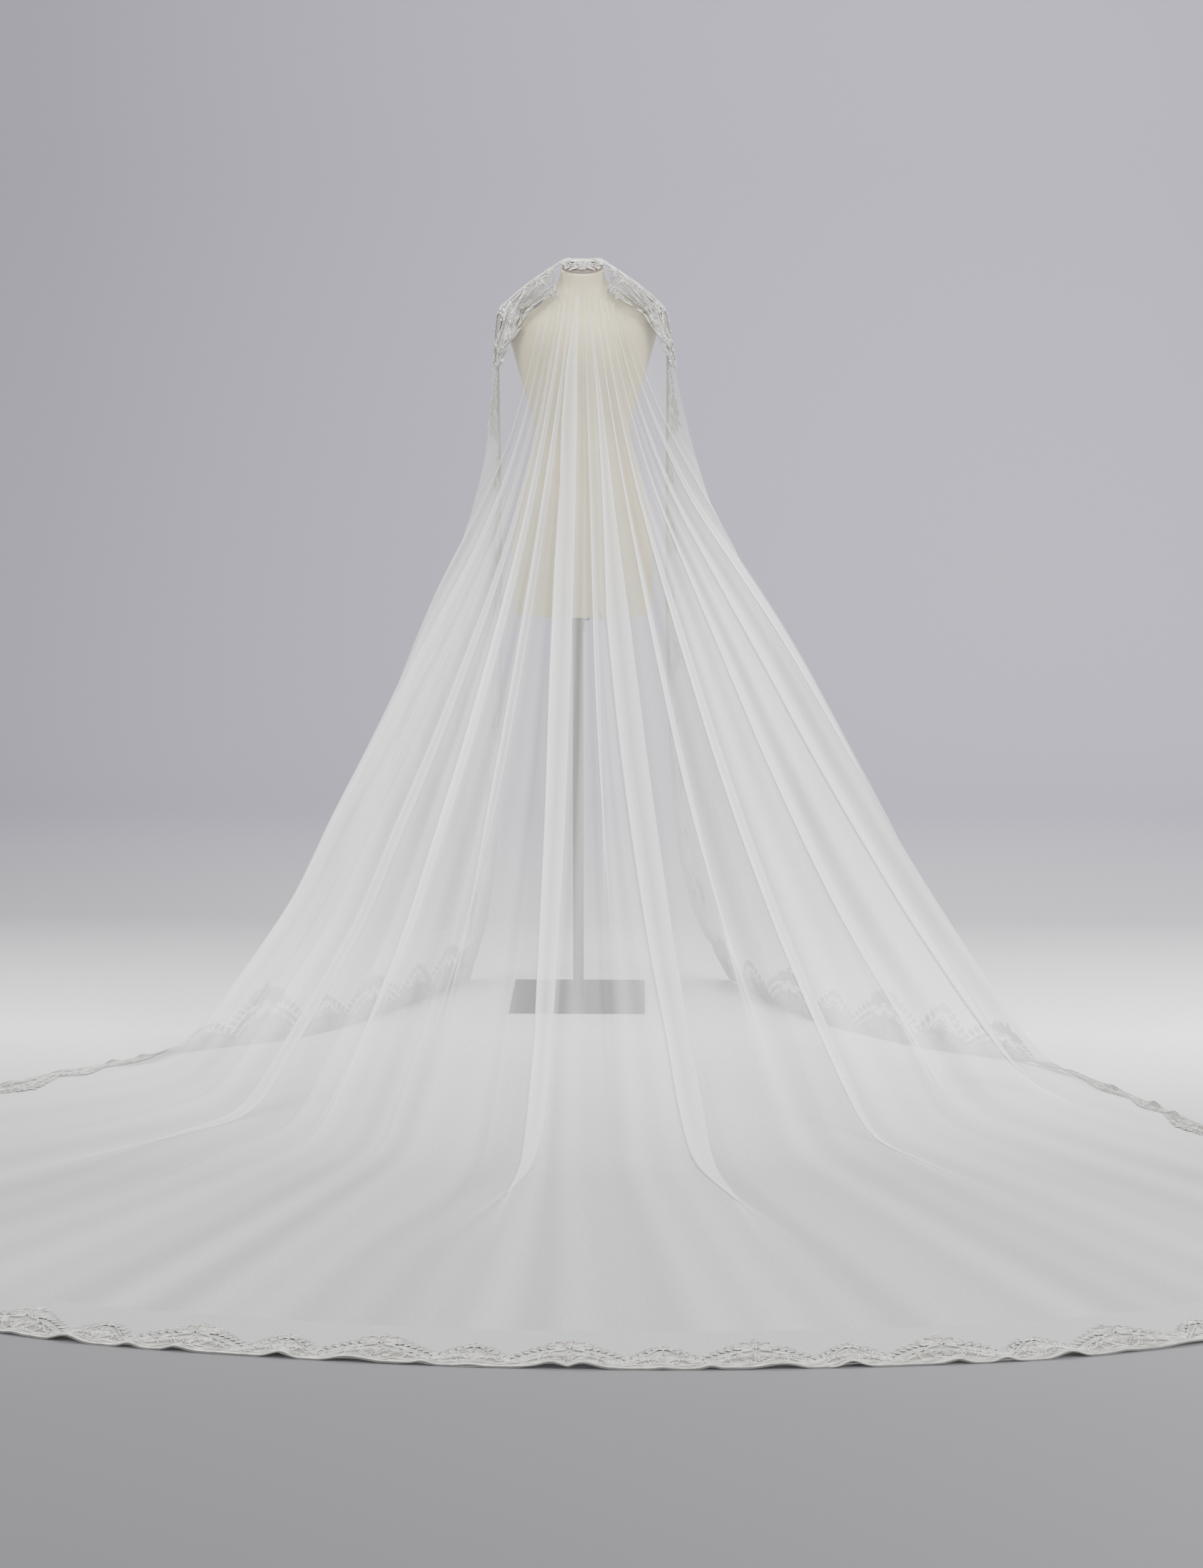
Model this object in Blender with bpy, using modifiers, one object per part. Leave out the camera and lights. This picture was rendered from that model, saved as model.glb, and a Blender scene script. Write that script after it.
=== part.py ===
# Bridal veil of tulle with a scalloped lace border, laid over a dress form on a stand.
# Metres, +Z up. The origin is on the floor, on the axis of the pole, and -Y is the front,
# where the train runs out.
import math

import bmesh
import bpy
import numpy as np
from mathutils import Matrix, Vector
from mathutils.geometry import delaunay_2d_cdt

# Stand
PLATE_SIDE = 0.318
PLATE_THICK = 0.005
PLATE_BEVEL = 0.001
POLE_RADIUS = 0.0127
COLLAR_RADIUS = 0.0155
COLLAR_HEIGHT = 0.038
COLLAR_BEVEL = 0.0012
COLLAR_STEPS = 24
MERGE_NEAR = 0.00001
SCREW_HEIGHT = 0.911
SCREW_RADIUS = 0.0022
SCREW_REACH = 0.0105
LEVER_LENGTH = 0.011
LEVER_RADIUS = 0.0026
LEVER_LEAN = math.radians(28)

# Dress form
FORM_X = 0.0115
FORM_BOTTOM = 0.9245
CAP_RADIUS = 0.047
CAP_THICK = 0.0045
CAP_BEVEL = 0.0012
CAP_HEIGHT = 1.7254
CAP_TILT = math.radians(17)
CAP_RING = 32
FORM_RING = 28
GAP = 0.0003

# Form sections: height, half width, depth to the front, depth to the back, tilt share
FORM_SECTIONS = (
    (0.9245, 0.1620, 0.100, 0.112, 0.0),
    (1.0300, 0.1655, 0.106, 0.124, 0.0),
    (1.1400, 0.1650, 0.103, 0.128, 0.0),
    (1.2400, 0.1390, 0.092, 0.104, 0.0),
    (1.3000, 0.1180, 0.085, 0.088, 0.0),
    (1.3440, 0.1070, 0.083, 0.080, 0.0),
    (1.3950, 0.1190, 0.089, 0.084, 0.0),
    (1.4500, 0.1370, 0.103, 0.092, 0.0),
    (1.5100, 0.1540, 0.110, 0.100, 0.0),
    (1.5600, 0.1680, 0.101, 0.102, 0.0),
    (1.5950, 0.1790, 0.084, 0.092, 0.0),
    (1.6160, 0.1800, 0.068, 0.078, 0.0),
    (1.6340, 0.1540, 0.060, 0.070, 0.1),
    (1.6560, 0.1090, 0.054, 0.062, 0.3),
    (1.6750, 0.0690, 0.052, 0.055, 0.6),
    (1.6900, 0.0525, 0.050, 0.051, 0.9),
)
NECK_RADIUS = 0.0498

# Cloth
TULLE_THICK = 0.0010
LACE_THICK = 0.0012
SEAM_GAP = 0.0002
SEAM_SHARPEST = 0.5
SEAM_PASSES = 4
LACE_LIFT = 0.0005

# Upper edge of the veil and the shelf where it leaves the cap and the shoulders, for one
# half: share of the way across, edge x, y, z, shelf x, y, z, with x from the form's middle
SHOULDER_LINE = (
    (0.00, 0.0000, 0.044, 1.7392, 0.000, -0.0540, 1.7110),
    (0.15, 0.0220, 0.041, 1.7385, 0.029, -0.0500, 1.7120),
    (0.33, 0.0450, 0.034, 1.7362, 0.062, -0.0300, 1.7180),
    (0.45, 0.0915, 0.024, 1.7050, 0.100, -0.0560, 1.6840),
    (0.58, 0.1385, 0.013, 1.6720, 0.146, -0.0540, 1.6540),
    (0.70, 0.1820, 0.005, 1.6360, 0.187, -0.0440, 1.6200),
    (0.85, 0.1875, 0.002, 1.6300, 0.193, -0.0200, 1.6120),
    (1.00, 0.1890, 0.000, 1.6270, 0.193, 0.0060, 1.6050),
)

# Where the cloth meets the floor and where it ends, all round:
# share of the way across, contact x, y, hem x, y
FLOOR_LINE = (
    (-1.00, -0.270, 0.167, -0.270, 0.167),
    (-0.94, -0.390, -0.080, -0.390, -0.080),
    (-0.88, -0.560, -0.335, -0.560, -0.335),
    (-0.81, -0.730, -0.450, -0.730, -0.450),
    (-0.76, -0.840, -0.500, -0.860, -0.505),
    (-0.71, -0.868, -0.550, -1.010, -0.615),
    (-0.66, -0.860, -0.620, -1.210, -0.790),
    (-0.60, -0.830, -0.715, -1.435, -1.130),
    (-0.52, -0.750, -0.860, -1.490, -1.600),
    (-0.42, -0.610, -1.035, -1.285, -2.010),
    (-0.30, -0.430, -1.190, -0.885, -2.210),
    (-0.15, -0.205, -1.290, -0.415, -2.310),
    (0.00, 0.020, -1.330, 0.040, -2.350),
    (0.15, 0.250, -1.300, 0.490, -2.335),
    (0.30, 0.485, -1.210, 0.930, -2.265),
    (0.42, 0.690, -1.070, 1.260, -2.110),
    (0.52, 0.850, -0.910, 1.415, -1.800),
    (0.60, 0.960, -0.760, 1.405, -1.400),
    (0.66, 1.010, -0.665, 1.285, -1.055),
    (0.71, 1.025, -0.605, 1.140, -0.745),
    (0.76, 0.975, -0.560, 1.010, -0.570),
    (0.81, 0.850, -0.500, 0.850, -0.500),
    (0.88, 0.655, -0.341, 0.655, -0.341),
    (0.94, 0.480, -0.120, 0.480, -0.120),
    (1.00, 0.366, 0.177, 0.366, 0.177),
)

# How far out the cloth has run at a share of its height: height share, front,
# left side, right side, edge sideways, edge backwards
FALL = (
    (1.00, 0.000, 0.000, 0.000, 0.00, 0.00),
    (0.95, 0.035, 0.014, 0.022, 0.00, 0.10),
    (0.90, 0.075, 0.023, 0.037, 0.00, 0.20),
    (0.80, 0.140, 0.046, 0.088, 0.00, 0.36),
    (0.72, 0.195, 0.095, 0.140, 0.00, 0.48),
    (0.65, 0.243, 0.152, 0.223, 0.00, 0.57),
    (0.55, 0.318, 0.259, 0.342, 0.01, 0.67),
    (0.40, 0.447, 0.430, 0.505, 0.05, 0.80),
    (0.30, 0.553, 0.553, 0.622, 0.10, 0.87),
    (0.20, 0.675, 0.655, 0.746, 0.20, 0.93),
    (0.10, 0.825, 0.828, 0.885, 0.46, 0.97),
    (0.00, 1.000, 1.000, 1.000, 1.00, 1.00),
)
SIDE_ACROSS = 0.71

# Folds in the fall, each a soft ridge running down from the cap: place across the fall,
# half width as a share of the fold scale, height, share of the length where it dies out
FOLDS = (
    (-0.86, 1.1, 0.011, 0.90),
    (-0.71, 1.0, 0.013, 0.88),
    (-0.56, 1.3, 0.014, 0.86),
    (-0.41, 1.5, 0.016, 0.90),
    (-0.27, 1.0, 0.012, 0.82),
    (-0.12, 1.4, 0.016, 0.88),
    (0.06, 1.0, 0.010, 0.76),
    (0.20, 1.3, 0.015, 0.86),
    (0.35, 1.0, 0.012, 0.80),
    (0.50, 1.3, 0.013, 0.84),
    (0.65, 1.2, 0.014, 0.88),
    (0.80, 1.1, 0.012, 0.90),
)
FOLD_GROWTH = 0.30
FOLD_FADE = 0.25
# Fold scale as a share of the way across, by share of the length
FOLD_SCALE = ((0.0, 0.026), (0.3, 0.026), (0.65, 0.0125), (1.0, 0.008))
FOLD_COLUMNS = (-1.0, -0.38, 0.38, 1.0)

# Lace border: a large and a small scallop in each repeat, measured along the edge
REPEATS_PER_HALF = 19.5
EDGE_STEPS = 8
TOP_STEPS = 10
STRIPS = 3
FRAME_WIDTH = 0.170
VALLEY_WIDTH = 0.034
LARGE_WIDTH = 0.120
LARGE_SPAN = 0.50
SMALL_WIDTH = 0.098
SMALL_SPAN = 0.44
RUFFLE_HEIGHT = 0.020
RUFFLE_SHARPNESS = 1.4
RUFFLE_SPREAD = 1.6
EDGE_WAVE = 0.006
HOLE_STRIP = 1
LARGE_HOLE = 0.13
SMALL_HOLE = 0.07

# The cloth as hanging lines: how many, points on each and on the shelf, the probe that finds
# its slope, smoothing rounds across the lines, along the border and below the shelf, and how
# far the border's cross lines may lengthen where they run slantwise
LINES = 361
LINE_POINTS = 181
SHELF_POINTS = 10
PROBE = 0.003
LINE_BLEND = 30
EDGE_BLEND = 8
BEND_BLEND = 12
SLANT_MOST = 1.7

# Rows along the hanging edges, points that measure an edge and a border's inset, and rounds
# that find a spot of the body
DROP_ROWS = 49
REACH_POINTS = 161
INSET_POINTS = 81
SPOT_ROUNDS = 6

# The bend over the cap: how near the lace's inner edge may come, its width laid out flat, and
# how near two points of that layout count as one
SHELF_NEAR = 0.014
SHELF_FLAT = 0.10
FLAT_NEAR = 1e-7

# Clearance from the chest, the roundness it follows, and the share across where it fades
CHEST_GAP = 0.012
CHEST_ROUND = 0.8
CHEST_FADE = 0.12
NECK_LOW = 1.66
BODY_ROWS = (0.0, 0.03, 0.07, 0.12, 0.18, 0.25, 0.33, 0.41, 0.49, 0.56, 0.63, 0.70, 0.77, 0.85,
             0.93, 1.0)

# Stretches of the tulle, each up to a place across the body
STRETCHES = (
    ("left_side", -0.785),
    ("left_front", -0.34),
    ("centre_left", -0.03),
    ("centre_right", 0.425),
    ("right_front", 0.725),
    ("right_side", 1.01),
)


def clear_scene():
    for item in list(bpy.data.objects):
        bpy.data.objects.remove(item, do_unlink=True)


def make_collection(name):
    group = bpy.data.collections.new(name)
    bpy.context.scene.collection.children.link(group)
    return group


def make_material(name, color, roughness, metallic=0.0):
    material = bpy.data.materials.new(name)
    material.use_nodes = True
    shader = material.node_tree.nodes["Principled BSDF"]
    shader.inputs["Base Color"].default_value = (*color, 1.0)
    shader.inputs["Roughness"].default_value = roughness
    shader.inputs["Metallic"].default_value = metallic
    return material


def finish_object(item, group, material, smooth_angle=40):
    for owner in list(item.users_collection):
        owner.objects.unlink(item)
    group.objects.link(item)
    item.data.materials.clear()
    item.data.materials.append(material)
    item.data.shade_smooth()
    item.data.set_sharp_from_angle(angle=math.radians(smooth_angle))
    return item


def add_bevel(item, width, segments=2):
    bevel = item.modifiers.new("rounded edges", "BEVEL")
    bevel.width = width
    bevel.segments = segments
    bevel.limit_method = "ANGLE"
    return bevel


def add_cylinder(name, radius, height, center, vertices, tilt=(0.0, 0.0, 0.0)):
    bpy.ops.mesh.primitive_cylinder_add(
        vertices=vertices, radius=radius, depth=height, location=center, rotation=tilt)
    item = bpy.context.object
    item.name = name
    return item


def read_smooth(table, key):
    # Reads a table's other columns at a key, on a cubic through its rows
    rows = np.array(table)
    keys = rows[:, 0]
    values = rows[:, 1:]
    slopes = np.gradient(values, keys, axis=0)
    spot = int(np.clip(np.searchsorted(keys, key) - 1, 0, len(keys) - 2))
    span = keys[spot + 1] - keys[spot]
    t = (key - keys[spot]) / span
    start = (1 + 2 * t) * (1 - t) ** 2
    end = t * t * (3 - 2 * t)
    lean_start = t * (1 - t) ** 2 * span
    lean_end = t * t * (t - 1) * span
    return (start * values[spot] + end * values[spot + 1]
            + lean_start * slopes[spot] + lean_end * slopes[spot + 1])


def ease(value):
    held = min(max(value, 0.0), 1.0)
    return held * held * (3 - 2 * held)


def build_form(group, material):
    mesh = bmesh.new()
    rings = []
    neck_top = CAP_HEIGHT - (CAP_THICK + 2 * GAP) / math.cos(CAP_TILT)
    sections = FORM_SECTIONS + ((neck_top, NECK_RADIUS, NECK_RADIUS, NECK_RADIUS, 1.0),)
    for height, half_width, front, back, tilt_share in sections:
        ring = []
        for step in range(FORM_RING):
            angle = 2 * math.pi * step / FORM_RING
            x = half_width * math.cos(angle)
            depth = back if math.sin(angle) > 0 else front
            y = depth * math.sin(angle)
            z = height + y * math.tan(CAP_TILT) * tilt_share
            ring.append(mesh.verts.new((FORM_X + x, y, z)))
        rings.append(ring)
    for low, high in zip(rings, rings[1:]):
        for step in range(FORM_RING):
            after = (step + 1) % FORM_RING
            mesh.faces.new((low[step], low[after], high[after], high[step]))
    mesh.faces.new(list(reversed(rings[0])))
    mesh.faces.new(rings[-1])
    data = bpy.data.meshes.new("torso")
    mesh.to_mesh(data)
    mesh.free()
    item = bpy.data.objects.new("torso", data)
    bpy.context.scene.collection.objects.link(item)
    return finish_object(item, group, material, 55)


def build_cap(group, material):
    center = (FORM_X, 0.5 * CAP_THICK * math.sin(CAP_TILT),
              CAP_HEIGHT - 0.5 * CAP_THICK * math.cos(CAP_TILT))
    item = add_cylinder("neck_cap", CAP_RADIUS, CAP_THICK, center, CAP_RING, (CAP_TILT, 0, 0))
    add_bevel(item, CAP_BEVEL)
    return finish_object(item, group, material)


def build_stand(group, steel, plate_steel):
    bpy.ops.mesh.primitive_cube_add(size=1, location=(0, 0, PLATE_THICK / 2))
    plate = bpy.context.object
    plate.name = "base_plate"
    plate.data.transform(Matrix.Diagonal((PLATE_SIDE, PLATE_SIDE, PLATE_THICK, 1.0)))
    add_bevel(plate, PLATE_BEVEL)
    finish_object(plate, group, plate_steel)

    pole_low = PLATE_THICK + GAP
    pole_high = FORM_BOTTOM - GAP
    pole = add_cylinder("pole", POLE_RADIUS, pole_high - pole_low,
                        (0, 0, (pole_low + pole_high) / 2), 32)
    finish_object(pole, group, steel)

    # The collar is a tube round the pole, turned from its section
    inner = POLE_RADIUS + GAP
    high = pole_high
    low = high - COLLAR_HEIGHT
    profile = ((inner, high), (COLLAR_RADIUS - COLLAR_BEVEL, high), (COLLAR_RADIUS, high - COLLAR_BEVEL),
               (COLLAR_RADIUS, low + COLLAR_BEVEL), (COLLAR_RADIUS - COLLAR_BEVEL, low), (inner, low))
    data = bpy.data.meshes.new("height_collar")
    edges = [(spot, (spot + 1) % len(profile)) for spot in range(len(profile))]
    data.from_pydata([(radius, 0, height) for radius, height in profile], edges, [])
    collar = bpy.data.objects.new("height_collar", data)
    bpy.context.scene.collection.objects.link(collar)
    turn = collar.modifiers.new("turned", "SCREW")
    turn.steps = COLLAR_STEPS
    turn.render_steps = COLLAR_STEPS
    turn.use_merge_vertices = True
    turn.merge_threshold = MERGE_NEAR
    turn.use_normal_calculate = False
    finish_object(collar, group, steel)

    # The thumb screw is a short shank with a lever leaning up from its end
    shank_start = COLLAR_RADIUS + GAP
    shank = add_cylinder("thumb_screw", SCREW_RADIUS, SCREW_REACH,
                         (shank_start + SCREW_REACH / 2, 0, SCREW_HEIGHT), 16, (0, math.pi / 2, 0))
    lever_x = shank_start + SCREW_REACH - LEVER_RADIUS * 0.4
    lever = add_cylinder("lever", LEVER_RADIUS, LEVER_LENGTH,
                         (lever_x, 0, SCREW_HEIGHT + LEVER_LENGTH * 0.25), 16, (0, LEVER_LEAN, 0))
    join = shank.modifiers.new("lever on shank", "BOOLEAN")
    join.operation = "UNION"
    join.object = lever
    lever.hide_render = True
    lever.display_type = "WIRE"
    finish_object(shank, group, steel)
    return lever


def hang_line(across):
    # One line of the cloth from its upper edge over the shelf, down to the floor and out to
    # the hem, as evenly spaced points
    side = abs(across)
    hand = 1 if across >= 0 else -1
    edge_x, edge_y, edge_z, shelf_x, shelf_y, shelf_z = read_smooth(SHOULDER_LINE, side)
    contact_x, contact_y, hem_x, hem_y = read_smooth(FLOOR_LINE, across)
    edge_y_low = FLOOR_LINE[-1 if hand > 0 else 0][2]
    start = np.array((FORM_X + hand * edge_x, edge_y, edge_z))
    shelf = np.array((FORM_X + hand * shelf_x, shelf_y, shelf_z))
    to_side = ease(side / SIDE_ACROSS)
    to_edge = ease((side - SIDE_ACROSS) / (1 - SIDE_ACROSS))
    points = [start, shelf]
    for share, front, left, right, edge_out, edge_back in FALL[1:]:
        beside = right if hand > 0 else left
        reach = front + (beside - front) * to_side
        out = reach + (edge_out - reach) * to_edge
        # Beside the form the cloth hangs back towards its edge and flares near the floor
        back = (edge_y_low - shelf[1]) * edge_back * (1 - edge_out)
        back += (contact_y - shelf[1]) * edge_out
        along = (contact_y - shelf[1]) * reach
        points.append(np.array((shelf[0] + (contact_x - shelf[0]) * out,
                                shelf[1] + along + (back - along) * to_edge,
                                shelf[2] * share)))
    points.append(np.array((hem_x, hem_y, 0.0)))
    top = spread_evenly(points[:2], SHELF_POINTS)
    fall = spread_evenly(points[1:], LINE_POINTS - SHELF_POINTS + 1)
    # The bends soften below the shelf
    held = np.clip(np.arange(len(fall)) / BEND_BLEND, 0, 1)[1:-1, None]
    for repeat in range(BEND_BLEND):
        middle = 0.25 * fall[:-2] + 0.5 * fall[1:-1] + 0.25 * fall[2:]
        fall[1:-1] += (middle - fall[1:-1]) * held
    fall = spread_evenly(fall, len(fall))
    over_chest = ease((SIDE_ACROSS - side) / CHEST_FADE)
    for spot in fall:
        if FORM_BOTTOM < spot[2] < NECK_LOW:
            lack = spot[1] - (chest_front(spot[0], spot[2]) - CHEST_GAP)
            spot[1] -= max(lack, 0.0) * over_chest
    line = np.vstack((top[:-1], fall))
    line[:, 2] += TULLE_THICK / 2
    return line


def chest_front(x, height):
    # The front of the form at a place across it, carried on straight past its round sides
    rows = np.array(FORM_SECTIONS)
    half_width, front = (np.interp(height, rows[:, 0], rows[:, column]) for column in (1, 2))
    offset = abs(x - FORM_X) / half_width
    held = min(offset, CHEST_ROUND)
    depth = math.sqrt(1 - held ** 2)
    return front * (held * (offset - held) / depth - depth)


def spread_evenly(points, count):
    along = run_along(points)
    wanted = np.linspace(0, along[-1], count)
    return read_columns(wanted, along, points)


def run_along(points):
    steps = np.linalg.norm(np.diff(np.array(points), axis=0), axis=1)
    return np.concatenate(([0.0], np.cumsum(steps)))


def read_columns(wanted, keys, rows):
    return np.array([np.interp(wanted, keys, column) for column in np.array(rows).T]).T


class Cloth:
    # The bare sheet without folds, read at a share across, -1 to 1, and a share of its length
    def __init__(self):
        self.across = np.linspace(-1, 1, LINES)
        self.lines = smooth_row([hang_line(across) for across in self.across], LINE_BLEND)
        # One border width in from the upper edge, the hem and the two hanging edges
        self.top_in = np.array([np.interp(FRAME_WIDTH, run_along(line), np.linspace(0, 1, LINE_POINTS))
                                for line in self.lines])
        self.hem_in = smooth_row([1 - FRAME_WIDTH / self.hem_depth(across) for across in self.across],
                                 EDGE_BLEND)
        self.drop_rows = np.linspace(0.02, 0.98, DROP_ROWS)
        self.drop_in = {hand: smooth_row([self.inset(hand, share) for share in self.drop_rows], EDGE_BLEND)
                        for hand in (1, -1)}

    def bare(self, across, share):
        over = (min(max(across, -1.0), 1.0) + 1) / 2 * (LINES - 1)
        down = min(max(share, 0.0), 1.0) * (LINE_POINTS - 1)
        column = min(int(over), LINES - 2)
        row = min(int(down), LINE_POINTS - 2)
        corner = self.lines[column:column + 2, row:row + 2]
        edge = corner[0] + (corner[1] - corner[0]) * (over - column)
        return edge[0] + (edge[1] - edge[0]) * (down - row)

    def slopes(self, across, share):
        # How far a step across and a step down move the point
        low, high = max(across - PROBE, -1.0), min(across + PROBE, 1.0)
        over = (self.bare(high, share) - self.bare(low, share)) / (high - low)
        low, high = max(share - PROBE, 0.0), min(share + PROBE, 1.0)
        down = (self.bare(across, high) - self.bare(across, low)) / (high - low)
        return over, down

    def outward(self, across, share):
        # The side that faces up on the floor and away from the form
        over, down = self.slopes(across, share)
        normal = np.cross(down, over)
        return normal / max(np.linalg.norm(normal), 1e-9)

    def hem_depth(self, across):
        # Distance square to the hem for a whole length of line, where it may run slantwise
        over, down = self.slopes(across, 1 - PROBE)
        over /= np.linalg.norm(over)
        square = np.linalg.norm(down - over * (down @ over))
        return max(square, np.linalg.norm(down) / SLANT_MOST)

    def inset(self, hand, share):
        # Share across that lies one border width in from a hanging edge
        places = np.linspace(1.0, 0.0, INSET_POINTS)
        run = run_along([self.bare(hand * place, share) for place in places])
        return float(np.interp(FRAME_WIDTH, run, places))

    def body_spot(self, place, row):
        # The body lies inside the border. Its place, -1 to 1, and its row, 0 to 1, give the
        # share across and the share of the length
        hand = 1 if place >= 0 else -1
        across = place * self.drop_in[hand][0]
        for repeat in range(SPOT_ROUNDS):
            high = np.interp(across, self.across, self.top_in)
            low = np.interp(across, self.across, self.hem_in)
            share = high + (low - high) * row
            across = place * np.interp(share, self.drop_rows, self.drop_in[hand])
        return np.array((across, share))

    def place_of(self, across, share):
        return across / np.interp(share, self.drop_rows, self.drop_in[1 if across >= 0 else -1])

    def point(self, across, share, ruffle=0.0):
        lift = fold_height(self.place_of(across, share), share) + ruffle
        return self.bare(across, share) + self.outward(across, share) * lift


def smooth_row(values, repeats):
    row = np.array(values)
    for repeat in range(repeats):
        row[1:-1] = 0.25 * row[:-2] + 0.5 * row[1:-1] + 0.25 * row[2:]
    return row


def fold_scale(share):
    rows = np.array(FOLD_SCALE)
    return float(np.interp(share, rows[:, 0], rows[:, 1]))


def fold_height(place, share):
    height = 0.0
    for center, width, peak, end in FOLDS:
        offset = abs(place - center) / (width * fold_scale(share))
        if offset < 1:
            grow = ease(share / FOLD_GROWTH) * (1 - ease((share - end) / FOLD_FADE + 1))
            height += peak * grow * (1 - offset * offset) ** 2
    return height


def scallop_width(phase):
    # A small scallop round phase 0 and a large one round phase 0.5
    turn = phase % 1.0
    from_small = min(turn, 1 - turn)
    if from_small < 0.25:
        swell = max(0.0, math.cos(math.pi * from_small / SMALL_SPAN))
        return VALLEY_WIDTH + (SMALL_WIDTH - VALLEY_WIDTH) * swell
    swell = max(0.0, math.cos(math.pi * (turn - 0.5) / LARGE_SPAN))
    return VALLEY_WIDTH + (LARGE_WIDTH - VALLEY_WIDTH) * swell


def ruffle_height(phase, stands):
    # Edge ruffles, uneven from one repeat to the next, higher where the edge lies flat
    turn = 2 * math.pi * phase
    uneven = 0.68 + 0.32 * math.sin(0.37 * turn + 1.3)
    wave = 0.5 - 0.5 * math.cos(turn + 0.9 * math.sin(0.21 * turn))
    height = EDGE_WAVE + (RUFFLE_HEIGHT - EDGE_WAVE) * max(stands, 0.0)
    return height * uneven * wave ** RUFFLE_SHARPNESS


def edge_lines(cloth, hand):
    # Cross lines of the border along one half of the edge, at even steps from the middle of
    # the cap over the shoulder and down to the middle of the hem. Each runs from a spot on the
    # edge to the matching spot on the body's edge
    reach = np.linspace(0.0, 1.0, REACH_POINTS)
    sides = (("top", TOP_STEPS, [(hand * t, 0.0) for t in reach]),
             ("drop", EDGE_STEPS, [(hand, t) for t in reach]),
             ("hem", EDGE_STEPS, [(hand * (1 - t), 1.0) for t in reach]))
    runs = [run_along([cloth.bare(*spot) for spot in spots]) for name, steps, spots in sides]
    whole = sum(run[-1] for run in runs)
    repeat = whole / REPEATS_PER_HALF
    lines = []
    before = 0.0
    for (name, steps, spots), run in zip(sides, runs):
        count = max(1, round(run[-1] / repeat * steps))
        for share in np.linspace(0, 1, count + 1)[(1 if lines else 0):]:
            outer = read_columns(share * run[-1], run, spots)
            inner = cloth.body_spot(*outer)
            gone = before + share * run[-1]
            line = {"side": name, "phase": gone / repeat, "run": hand * gone, "outer": outer,
                    "inner": inner, "widths": (0.0, FRAME_WIDTH), "shares": (0.0, 1.0)}
            if name == "top":
                # The cloth bends over the cap's rim or the shoulder at a width of its own
                row = read_smooth(SHOULDER_LINE, abs(outer[0]))
                line["shelf"] = float(np.linalg.norm(row[3:] - row[:3]))
                line["widths"] = (0.0, line["shelf"], FRAME_WIDTH)
                line["shares"] = (0.0, (SHELF_POINTS - 1) / (LINE_POINTS - 1) / inner[1], 1.0)
            lines.append(line)
        before += run[-1]
    return lines, whole


def border_point(cloth, line, width):
    # A point on one cross line of the border, a given width in from the edge
    into = np.interp(width, line["widths"], line["shares"])
    across, share = line["outer"] + (line["inner"] - line["outer"]) * into
    stands = float(cloth.outward(*line["outer"])[2])
    ruffle = ruffle_height(line["phase"], stands) * (1 - into) ** RUFFLE_SPREAD
    return cloth.point(across, share, ruffle), cloth.place_of(across, share)


def body_places(share):
    # Columns of the body: four over each fold, one between folds and one at each side
    centers = [fold[0] for fold in FOLDS]
    middles = [(a + b) / 2 for a, b in zip([-1.0] + centers, centers + [1.0])]
    places = [-1.0]
    for (center, width, peak, end), middle in zip(FOLDS, middles):
        places.append(middle)
        places += [center + offset * width * fold_scale(share) for offset in FOLD_COLUMNS]
    return places + [middles[-1], 1.0]


def stretch_of(place):
    for name, end in STRETCHES:
        if place < end:
            return name
    return STRETCHES[-1][0]


def fill_band(whole, ring, extra, body):
    # Triangles between the lace's inner edge and the body's edge, laid out flat as distance
    # along the edge and in from it. Each row is run, width and point
    outline = ring + [(ring[0][0] + whole, ring[0][1], ring[0][2])]
    outline += [(body[0][0] + whole, body[0][1], body[0][2])] + body[::-1]
    spots = outline + extra
    flat = [Vector((run, width)) for run, width, point in spots]
    corners = list(range(len(outline)))
    found, edges, triangles, sources, old_edges, owners = delaunay_2d_cdt(
        flat, [], [corners], 1, FLAT_NEAR, True)
    faces = []
    for triangle, owner in zip(triangles, owners):
        if not owner:
            continue
        a, b, c = (found[corner] for corner in triangle)
        names = [spots[sources[corner][0]][2] for corner in triangle]
        turned = (b - a).cross(c - a)
        if len(set(names)) == 3:
            faces.append(tuple(names if turned < 0 else names[::-1]))
    return faces


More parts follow.
